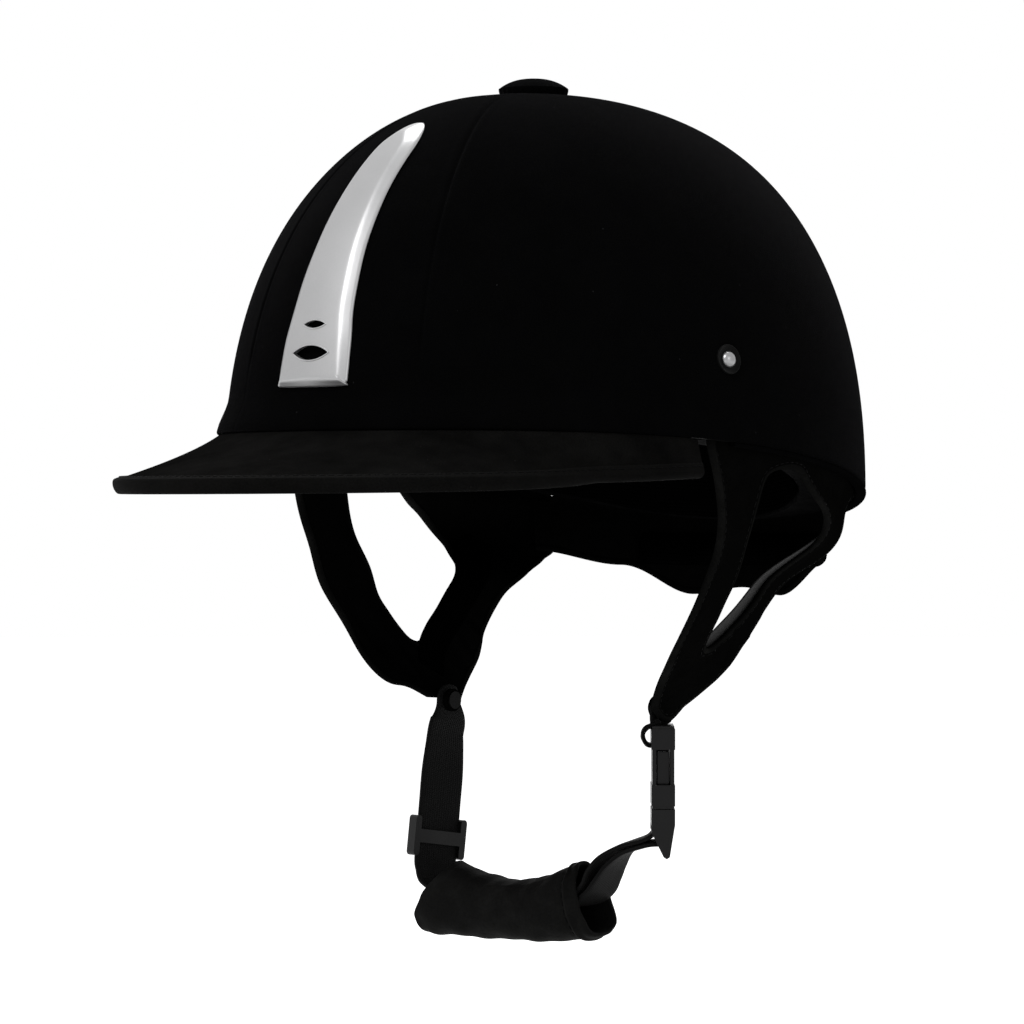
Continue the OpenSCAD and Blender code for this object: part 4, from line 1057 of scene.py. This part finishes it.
# Side studs: angle and height of their place, and profiles of head and ring as radius and height
STUD_T, STUD_Z = math.radians(78.5), 26.5
STUD_HEAD = [[0, 2.35], [0.7, 2.3], [1.4, 2.1], [2.1, 1.75], [2.6, 1.3], [2.95, 0.7], [3.1, 0.2], [3.1, -0.6]]
STUD_RING = [[2.9, 0.2], [3.9, 0.3], [4.9, 0.55], [5.35, 0.75], [5.6, 0.6], [5.7, 0.15], [5.7, -0.6]]


class HELMET_OT_studs(bpy.types.Operator):
    """Side studs: a domed steel head in a dark dished ring"""
    bl_idname = "helmet.studs"
    bl_label = "Side studs"

    def execute(self, context):
        heads = [self.turned("head", side, STUD_HEAD) for side in (1, -1)]
        place(join("stud_domes", heads), "helmet", "steel", "stud_steel", ["side_studs"])
        rings = [self.turned("ring", side, STUD_RING) for side in (1, -1)]
        place(join("stud_rings", rings), "helmet", "steel", "dark_steel")
        return {"FINISHED"}

    def turned(self, name, side, profile):
        """Profile of radius and height turned round the shell's outward normal at the stud's place."""
        t, z = np.array(STUD_T), np.array(STUD_Z)
        step = 0.01
        across = level_point(t + step, z, 0.0) - level_point(t - step, z, 0.0)
        up = level_point(t, z + 1, 0.0) - level_point(t, z - 1, 0.0)
        n, u = unit(np.cross(across, up)), unit(across)
        w = np.cross(n, u)
        line = catmull(profile, 5)
        a = circle(48)[:, None, None]
        r, h = line[None, :, :1], line[None, :, 1:]
        q = (level_point(t, z, 0.0) + r * (np.cos(a) * u + np.sin(a) * w) + h * n) * [side, 1, 1]
        return grid(name, q, round_u=True, round_v=False, weld=True)


class HELMET_OT_harness(bpy.types.Operator):
    """Leather harness panels with bound edges, stitches and the webbing sewn inside their rear straps"""
    bl_idname = "helmet.harness"
    bl_label = "Harness"

    def execute(self, context):
        p = context.scene.helmet_leather
        # Same webbing on both sides: the left strip gets a pale painted sheen, the right strip the dark
        # lining as painted shade
        for side, name, finish in ((1, "left", "pale_webbing"), (-1, "right", "lining")):
            self.panel(side, name, p)
            self.strip(side, name, finish)
        return {"FINISHED"}

    def sheet(self, outline, ear, x, lift, p):
        """Point a share x of the way from the outline to the ear opening, a lift away from the leather's
        middle, with long folds low down and a slow wave."""
        yz = mix(outline, ear, x[..., None])
        y, z = yz[..., 0], yz[..., 1]
        depth = (TAB_D0 + TAB_D1) / 2 + lift
        bent = y * 0.62 + z * 0.2 + 1.1 * np.sin(z * 0.11 + y * 0.05)
        fold = p.fold_depth / MM * (np.sin(bent) + 0.45 * np.sin(1.7 * bent + 1))
        fold = fold * ease((-62 - z) / 22) * ease((z + 101) / 12)
        fold = fold * ease(np.minimum(x, 1 - x) * 6)
        wave = 0.3 * np.sin(y * 0.21 + 1.3) * np.sin(z * 0.17) * ease((-22 - z) / 20) * ease((z + 101) / 10)
        return vec(strap_x(y, z, depth) + fold + wave, y, z)

    def panel(self, side, name, p):
        """Sheet between the outline and the ear opening, bound at both edges. The right foot reaches further
        to the front, and its tip is higher."""
        steps = 12
        outline = catmull(HARNESS_OUT, steps, closed=True)[:, None]
        if side < 0:
            y, z = outline[..., 0], outline[..., 1]
            forward = -11 * (bump(z + 97, 17) * (y < 2))
            outline = outline + np.stack([forward, 7 * bump(z + 108, 7) * ease((9 - y) / 8)], -1)
        ear = catmull(HARNESS_EAR, steps, closed=True)[:, None]
        wide = np.linalg.norm(outline - ear, axis=-1)
        bead = p.bead / MM
        near = bead_rows(bead)[None]
        middle = mix(near[:, -1:] / wide, 1 - near[:, -1:] / wide, np.linspace(0, 1, 12)[None, 1:-1])
        share = np.concatenate([near / wide, middle, 1 - near[:, ::-1] / wide], 1)
        from_edge = np.minimum(share, 1 - share) * wide
        half = bound_half(from_edge, bead, p.bead_lift / MM, 0.22)
        outer, inner = (self.sheet(outline, ear, share, lift, p) for lift in (-half, half))
        loop = np.concatenate([outer, inner[:, ::-1]], 1)
        loop[..., 0] *= side
        ob = grid("harness_panel_" + name, loop, round_u=True, smooth=60)
        place(ob, "helmet", "leather", "leather", ["harness_" + name])
        self.edges(ob, share.shape[1], from_edge, bead)
        sewn = bead * SEWN / wide[:, 0]
        rows = []
        for s in (sewn, 1 - sewn):
            path = self.sheet(outline[:, 0], ear[:, 0], s, -LEATHER_T / 2 + 0.1, p)
            below = path[:, 2] < rim_at(path[:, 1]) - 2
            path = np.concatenate([path, path[:1]])
            below = np.append(below, below[0])
            runs = np.flatnonzero(np.diff(np.concatenate([[0], below.astype(int), [0]])))
            for start, end in zip(runs[::2], runs[1::2]):
                if end - start > 6:
                    line = path[start:end] * [side, 1, 1]
                    rows.append(stitches("row", line, np.tile([side * 1.0, -0.15, -0.1], (len(line), 1))))
        place(join("harness_stitches_" + name, rows), "helmet", "leather", "thread")

    def edges(self, ob, half_count, from_edge, bead):
        """Gives the faces of the two beads the bound edge's finish, and the faces that close them. That
        finish is lighter than the leather: rubbed binding and a painted highlight along the edge.
        """
        ob.data.materials.append(bpy.data.materials["bound_edge"])
        near = from_edge < bead * 0.95
        both = np.concatenate([near, near[:, ::-1]], 1)
        n, m = both.shape
        face = both & np.roll(both, -1, 1)
        face = face | (np.arange(m) == m - 1)[None] | (np.arange(m) == half_count - 1)[None]
        ob.data.polygons.foreach_set("material_index", face.astype(np.int32).ravel())

    def strip(self, side, name, finish):
        """Webbing on the inside of the rear strap, half of its width showing in the ear opening. Its finish
        is painted light: a pale sheen on the left strip, dark shade on the right.
        """
        line = catmull(STRIP_LINE, 10)
        if side > 0:
            line = line + STRIP_SHIFT
        along = unit(np.gradient(line, axis=0))
        across = np.stack([-along[:, 1], along[:, 0]], -1)
        a = circle(28)
        width = STRIP_HALF * mix(0.75, 1, ease(np.linspace(0, 8, len(line))))
        yz = line[:, None] + across[:, None] * (width[:, None] * spow(np.cos(a), 0.3)[None])[..., None]
        depth = TAB_D1 + 0.75 - 0.65 * spow(np.sin(a), 0.4)[None] + 0 * yz[..., 0]
        q = vec(side * strap_x(yz[..., 0], yz[..., 1], depth), yz[..., 0], yz[..., 1])
        place(grid("strap_webbing_" + name, q), "helmet", "webbing", finish)


# Nape panel: how far each millimetre below the rim draws it in at the rear and at its ends, the step inwards
# of its ends, and its lower edge as angle from the rear and height
NAPE_DRAW, NAPE_TUCK, NAPE_STEP = 0.29, 0.45, 2.6
NAPE_LOW = [[0, -61], [13, -64], [30, -52], [49, -46]]
NAPE_END = NAPE_LOW[-1][0]


def nape_low(a):
    """Lower edge, eased between the places of its table."""
    table = np.array(NAPE_LOW, float)
    k = np.clip(np.searchsorted(table[:, 0], a, side="right") - 1, 0, len(table) - 2)
    f = ease((a - table[k, 0]) / (table[k + 1, 0] - table[k, 0]))
    return mix(table[k, 1], table[k + 1, 1], f)


def nape_point(a, z, d):
    """Point behind the head: the shell's layer, drawn in below the rim and stepped in at the ends."""
    deg = np.abs(a)
    rear = np.pi - np.radians(a)
    below = np.maximum(0, rim_z(np.pi - np.radians(deg)) - 1.5 - z)
    i = d + below * mix(NAPE_DRAW, NAPE_TUCK, ease((deg - 8) / 38)) + NAPE_STEP * ease((deg - 36) / 6)
    rho = rho_at(np.maximum(z, -EQUATOR * 1.4), i)
    return vec((HALF_W - i) * rho * np.sin(rear), centre_y(z) - (HALF_L - i) * rho * np.cos(rear), z + 0 * i)


class HELMET_OT_nape(bpy.types.Operator):
    """Nape panel with a bound lower edge, and the pad inside it"""
    bl_idname = "helmet.nape"
    bl_label = "Nape"

    def execute(self, context):
        p = context.scene.helmet_leather
        a = np.linspace(-NAPE_END, NAPE_END, 140)[:, None]
        top = rim_z(np.pi - np.radians(np.abs(a))) + mix(8, -3, ease((np.abs(a) - 42) / 4))
        low = nape_low(np.abs(a))
        bead = p.bead / MM
        up = np.append(bead_rows(bead), bead * 2)[None]
        even = mix(top, low + up[:, -1:], np.linspace(0, 1, 22)[None, :-1])
        z = np.concatenate([even, low + up[:, ::-1]], 1)
        half = bound_half(z - low, bead, p.bead_lift / MM, 0.2)
        middle = (TAB_D0 + TAB_D1) / 2
        q = np.concatenate([nape_point(a, z, middle - half), nape_point(a, z, middle + half)[:, ::-1]], 1)
        place(grid("nape_leather", q, smooth=60), "helmet", "leather", "leather", ["nape_panel"])
        line = np.linspace(-41, 41, 120)
        sewn_z = nape_low(np.abs(line)) + bead * SEWN
        path = nape_point(line, sewn_z, TAB_D0 + 0.12)
        out = nape_point(line, sewn_z, TAB_D0 - 1) - path
        place(stitches("nape_stitches", path, out), "helmet", "leather", "thread")
        self.pad()
        return {"FINISHED"}

    def pad(self):
        """Pad between two heights: its inner face swells with the root of a cosine across and a sine up,
        and is drawn in along three sewn channels."""
        a = np.linspace(-26, 26, 90)[:, None]
        z1, z0 = rim_z(np.pi) - 6, -52
        f = np.linspace(0, 1, 26)[None]
        z = mix(z1, z0, f) + 0 * a
        channel = sum(bump(a - at, 1.1) for at in (-13, 0, 13))
        across = np.sqrt(np.maximum(0, np.cos(np.radians(a * 90 / 27))))
        swell = (0.5 + 5.3 * across) * np.sin(np.pi * mix(0.04, 0.96, f)) ** 0.6
        back = nape_point(a, z, TAB_D1 + SOFT)
        face = nape_point(a, z, TAB_D1 + SOFT + 0.5 + swell * (1 - 0.5 * channel))
        ob = grid("nape_cushion", np.concatenate([back, face[:, ::-1]], 1), smooth=70)
        place(ob, "helmet", "lining", "lining", ["nape_pad"])


# Sections of the headband and the crown pad: share of the way down to the rim, and share of the full depth
BAND = [[0.72, 0], [0.72, 0.35], [0.77, 0.85], [0.85, 1], [0.93, 0.85], [0.985, 0.35], [0.985, 0], [0.85, 0]]
PAD = [[0, 0], [0, 0.5], [0.1, 0.95], [0.2, 1], [0.3, 0.8], [0.34, 0.35], [0.34, 0], [0.17, 0]]


class HELMET_OT_lining(bpy.types.Operator):
    """Padded headband and crown pad, quilted in sewn channels"""
    bl_idname = "helmet.lining"
    bl_label = "Lining"

    def execute(self, context):
        p = context.scene.helmet_leather
        for name, node_name, section, start, channels in (("headband_pad", "headband", BAND, 0, p.channels),
                                                          ("crown_cushion", "crown_pad", PAD, 0.1, 10)):
            s = catmull(section, 8, closed=True)
            v, deep = mix(start, 1, s[:, 0][None]), s[:, 1][None]
            t = circle(channels * 16)[:, None]
            seam = 1 - np.abs(np.sin(t * channels / 2)) ** 0.55
            d = mix(BAND_D0, BAND_D1, deep * (1 - 0.3 * seam))
            q = row_point(t, v + 0 * t, d)
            ob = grid(name, q, round_u=True, smooth=70)
            place(ob, "helmet", "lining", "lining", [node_name])
        return {"FINISHED"}


def ribbon(name, control, width, thick, steps=12, widths=None):
    """Flat strap along control points x, y, z and a turn in degrees: a rounded oblong carried along the
    curve, its width kept square to the path."""
    c = catmull(np.asarray(control, float), steps)
    line, turn = c[:, :3], np.radians(c[:, 3])
    along = unit(np.gradient(line, axis=0))
    wide = vec(np.sin(turn), np.cos(turn), 0 * turn)
    across = unit(wide - along * (wide * along).sum(-1, keepdims=True))
    up = np.cross(across, along)
    a = circle(40)
    w = np.full(len(line), width) if widths is None else widths(arc_length(line))
    x = w[:, None] / 2 * spow(np.cos(a), 0.28)[None]
    y = thick / 2 * spow(np.sin(a), 0.45)[None] * np.minimum(1, w / width)[:, None] ** 0.3
    q = line[:, None] + across[:, None] * x[..., None] + up[:, None] * y[..., None]
    return grid(name, q, smooth=70)


# Webbing inside the chin guard follows an arc
GUARD_X, GUARD_Y, GUARD_R = -6.0, -6.0, 150.0
GUARD_CENTRE = -184.0 + GUARD_R


def guard_arc(o):
    """Place on the webbing's arc through the guard, a distance o to the side of its middle."""
    return [GUARD_X + o, GUARD_Y, GUARD_CENTRE - math.sqrt(GUARD_R ** 2 - o * o)]


def strap_place(z):
    """Place on the right strap at a height: it slopes to the front as it goes down."""
    return [-PIVOT[0], PIVOT[1] + 0.125 * (z - PIVOT[2]), z]


# Middle of the plug's web bar: its height and its place across the buckle's thickness
BAR_Z, BAR_N = -153.8, -1.0
# Radius of the chin strap's round end
TAB_R = 6.5


def buckle_place(n, z):
    """Place n across the buckle's thickness from its axis, at a height."""
    return [BUCKLE_AXIS[0] + n * math.cos(BUCKLE_TURN), BUCKLE_AXIS[1] + n * math.sin(BUCKLE_TURN), z]


def bar_place(n, dz):
    """Place near the plug's web bar: n across the buckle's thickness and dz up."""
    return buckle_place(BAR_N + n, BAR_Z + dz)


def tab_width(s):
    """Width of the chin strap from its round end: a half circle's chord, then eased to the full width."""
    cap = 2 * np.sqrt(np.clip(TAB_R ** 2 - (TAB_R - np.minimum(s, TAB_R)) ** 2, 0.05, None))
    return mix(cap, WEB_W, ease((s - TAB_R) / 9))


class HELMET_OT_webbing(bpy.types.Operator):
    """Woven straps: the chin strap, the left strap round the plug's bar and the loop that hangs the buckle"""
    bl_idname = "helmet.webbing"
    bl_label = "Webbing"

    def execute(self, context):
        x, y, z = PIVOT
        chin = [[-x, y, z + 6.4, 0], [-x, y, z, 0], [-x, y, z - 7.5, 0]]
        chin += [[*strap_place(h), turn] for h, turn in ((-118, 2), (-124, 6), (-134, 12), (-146, 12),
                                                         (-157, 12), (-168.5, 12))]
        chin += [[-x + 0.6, -4.5, -172.6, 6], [-x + 2.4, -5.2, -175.8, 4], [-x + 5, -5.6, -177.4, 2]]
        chin += [[*guard_arc(o), 0] for o in (-41, -33, -24, -15, -6, 3, 12, 21, 31)]
        strap = ribbon("chin_strap_webbing", chin, WEB_W, WEB_T, widths=tab_width)
        place(strap, "chin_strap", "webbing", "webbing", ["chin_web"])
        wrap = 1.5 + SOFT + WEB_T / 2 + 0.1
        left = [[*guard_arc(26), 0], [*guard_arc(31), 0], [29, -5.9, -178.6, 0], [32.4, -5.5, -175.6, -3],
                [35.2, -4.8, -171, -8], [38, -3.8, -166, -14], [42.6, -2.2, -160.4, -26]]
        left += [[*bar_place(-5, -3.4), -36]]
        left += [[*bar_place(wrap * math.cos(a), wrap * math.sin(a)), -40]
                 for a in np.radians(np.arange(-90, 91, 36))]
        left += [[*bar_place(-5, -0.9), -36], [42, -2.6, -158, -24], [36, -4.6, -162.8, -10],
                 [32.6, -5.4, -168, -4], [31.1, -5.8, -172.3, -1], [28.8, -6, -175.2, 0],
                 [26.2, -6, -177.2, 0]]
        strap = ribbon("left_strap_webbing", left, WEB_W, WEB_T, steps=10)
        place(strap, None, "webbing", "webbing", ["left_web"])
        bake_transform(strap)
        loop = [[x, y, z + 1, 0], [x, y, z - 4.6, 0], [x - 0.6, y - 0.2, SOCKET_TOP + 0.8, -14]]
        loop += [[*buckle_place(-n, SOCKET_TOP - drop), turn]
                 for n, drop, turn in ((6.2, 1.2, -30), (7.6, 4.2, -40), (6.2, 7.2, -40), (3.4, 8, -40))]
        strap = ribbon("buckle_loop", loop, 13, 1.7, steps=10)
        place(strap, "buckle_socket", "webbing", "webbing", ["socket_loop"])
        return {"FINISHED"}


# Chin guard: its half length along the webbing, the ends of its right and left mouths from its middle,
# heights of its underside and its top, half its depth, its wall, and the groove's distance from the left
# mouth
GUARD_HALF, MOUTH_RIGHT, MOUTH_LEFT = 41, -47.5, 38.5
GUARD_LOW, GUARD_TOP, GUARD_DEEP, GUARD_WALL, GUARD_GROOVE = -197.2, -173.6, 12.7, 2.3, 6.2


class HELMET_OT_guard(bpy.types.Operator):
    """Soft leather chin guard: a sleeve round the webbing with slanted mouths and a sewn lip"""
    bl_idname = "helmet.guard"
    bl_label = "Chin guard"

    def execute(self, context):
        a = circle(150)[:, None]
        outside = np.sin(np.linspace(-np.pi / 2, np.pi / 2, 90))[None]
        inside = outside[:, ::-3]
        lip = np.linspace(0, np.pi, 9)[None, 1:-1]
        end, turn = 1 + 0.022 * np.sin(lip), 0.5 * np.cos(lip)
        s = np.concatenate([outside, end, inside, -end], 1)
        inward = np.concatenate([0 * outside, 0.5 - turn, 1 + 0 * inside, 0.5 + turn], 1)
        ob = grid("chin_guard_sleeve", self.sleeve(a, s, inward), round_u=True, smooth=70)
        place(ob, "chin_guard", "leather", "guard_leather", ["chin_guard"])
        self.sewing(a[:, 0])
        return {"FINISHED"}

    def sleeve(self, a, s, inward):
        """Tube along X: its height grows with the square of the distance from the middle, and cosine lobes
        cut its mouths back at the top and the rear. inward runs from 0 outside to 1 inside the wall."""
        def lobe(deg, power):
            """Cosine of the angle from a direction, held above zero and raised to a power."""
            return np.maximum(0, np.cos(a - np.radians(deg))) ** power
        x0 = MOUTH_RIGHT + 14 * lobe(115, 1.5) + 8 * lobe(20, 2)
        x1 = MOUTH_LEFT - 5.5 * lobe(125, 1.2) - 9 * lobe(45, 1.6)
        x = GUARD_X + mix(x0, x1, (s + 1) / 2)
        low = GUARD_LOW + np.where(s < 0, -0.3, 3.0) * s * s
        high = GUARD_TOP + 7.7 * s * s + 1.5 * s
        wall = GUARD_WALL * inward
        pinch = 0.8 * ease((np.abs(s) - 0.84) / 0.16)
        from_end = (1 - s) * GUARD_HALF
        rib = 0.75 * bump(from_end - 4.2, 0.9) - 0.35 * bump(from_end - GUARD_GROOVE, 0.9)
        rib = rib + 0.25 * bump(from_end - 0.8, 1.1)
        crease = (0.28 * np.sin(s * 9 + 2.2 * np.sin(a)) * np.sin(3 * a + 1) + 0.16 * np.sin(s * 21 + 3 * a)
                  + 0.2 * bump(np.sin(a + 0.9 + 0.25 * s), 0.12))
        out = (1 - inward) * (rib + crease) - wall - pinch * (1 - inward)
        ry, rz = GUARD_DEEP + out, (high - low) / 2 + out
        y = GUARD_Y + ry * spow(np.cos(a), 0.8)
        return vec(x + 0 * y, y, (low + high) / 2 + rz * spow(np.sin(a), 0.8))

    def sewing(self, a):
        """Stitches round the left mouth, in the groove beside its lip."""
        s = 1 - GUARD_GROOVE / GUARD_HALF
        loop = np.concatenate([a, a[:1]])[:, None]
        path = self.sleeve(loop, np.full_like(loop, s), 0 * loop)[:, 0]
        out = (path - path.mean(0)) * [0, 1, 1]
        place(stitches("guard_stitches", path, out), "chin_guard", "leather", "thread")


# Hard pieces: node and body, name in the scene, and radius of the edges
HARDWARE = (("slider", "strap_slider", 0.85), ("buckle_socket", "buckle_housing", 0.7),
            ("buckle_plug", "buckle_tongue", 0.45), ("arm_front", "release_arm_front", 0.6),
            ("arm_rear", "release_arm_rear", 0.6))
# Slider: how far it is turned about Z, and the shares of its width and thickness that are taken off
SLIDER_TURN, SLIDER_NARROW, SLIDER_THIN = math.radians(12), 0.07, 0.25


class HELMET_OT_hardware(bpy.types.Operator):
    """Slider, buckle and release arms with moulded, rounded edges"""
    bl_idname = "helmet.hardware"
    bl_label = "Hardware"

    def execute(self, context):
        for node_name, name, radius in HARDWARE:
            ob = self.rounded(node_name, name, radius)
            place(ob, node_name, "buckle", "buckle_plastic", [node_name])
            if node_name == "slider":
                self.slim(ob)
        return {"FINISHED"}

    def slim(self, ob):
        """Draws the slider in about its middle, across its width and its thickness."""
        p = points_of(ob.data)
        away = p - (p.max(0) + p.min(0)) / 2
        wide = np.array([math.sin(SLIDER_TURN), math.cos(SLIDER_TURN), 0.0])
        thick = np.array([math.cos(SLIDER_TURN), -math.sin(SLIDER_TURN), 0.0])
        p = p - SLIDER_NARROW * (away @ wide)[:, None] * wide - SLIDER_THIN * (away @ thick)[:, None] * thick
        ob.data.vertices.foreach_set("co", p.ravel())

    def rounded(self, node_name, name, radius):
        """Copy of a node with its flat faces joined and its edges rounded to a radius."""
        source = frame["nodes"][node_name].data
        ob = new_object(name, points_of(source) / MM, [list(f.vertices) for f in source.polygons])
        merge(ob, flat=math.radians(1.5))
        smooth_faces(ob.data)
        edge = ob.modifiers.new("round", "BEVEL")
        edge.width, edge.segments = radius * MM, 4
        edge.limit_method, edge.angle_limit = "ANGLE", math.radians(38)
        edge.harden_normals = True
        return ob


class HELMET_PT_panel(bpy.types.Panel):
    """Buttons for every part of the helmet"""
    bl_label = "Helmet"
    bl_idname = "HELMET_PT_panel"
    bl_space_type = "VIEW_3D"
    bl_region_type = "UI"
    bl_category = "Helmet"

    def draw(self, context):
        for operator in OPERATORS:
            self.layout.operator(operator.bl_idname)


OPERATORS = (HELMET_OT_stage, HELMET_OT_finishes, HELMET_OT_covers, HELMET_OT_peak, HELMET_OT_rim,
             HELMET_OT_plate, HELMET_OT_studs, HELMET_OT_harness, HELMET_OT_nape, HELMET_OT_lining,
             HELMET_OT_webbing, HELMET_OT_guard, HELMET_OT_hardware)
SETTINGS = {"helmet_shell": HelmetShellSizes, "helmet_trim": HelmetTrimSizes,
            "helmet_leather": HelmetLeatherSizes, "helmet_finish": HelmetFinish, "helmet_stage": HelmetStage}
CLASSES = (*SETTINGS.values(), *OPERATORS, HELMET_PT_panel)


def register():
    """Registers the settings, the operators and the panel."""
    for cls in CLASSES:
        bpy.utils.register_class(cls)
    for name, cls in SETTINGS.items():
        setattr(bpy.types.Scene, name, PointerProperty(type=cls))


def unregister():
    """Removes what register added."""
    for name in SETTINGS:
        delattr(bpy.types.Scene, name)
    for cls in reversed(CLASSES):
        bpy.utils.unregister_class(cls)


def main():
    """Runs every operator in order."""
    register()
    for operator in OPERATORS:
        group_name, call = operator.bl_idname.split(".")
        getattr(getattr(bpy.ops, group_name), call)()


if __name__ == "__main__":
    main()
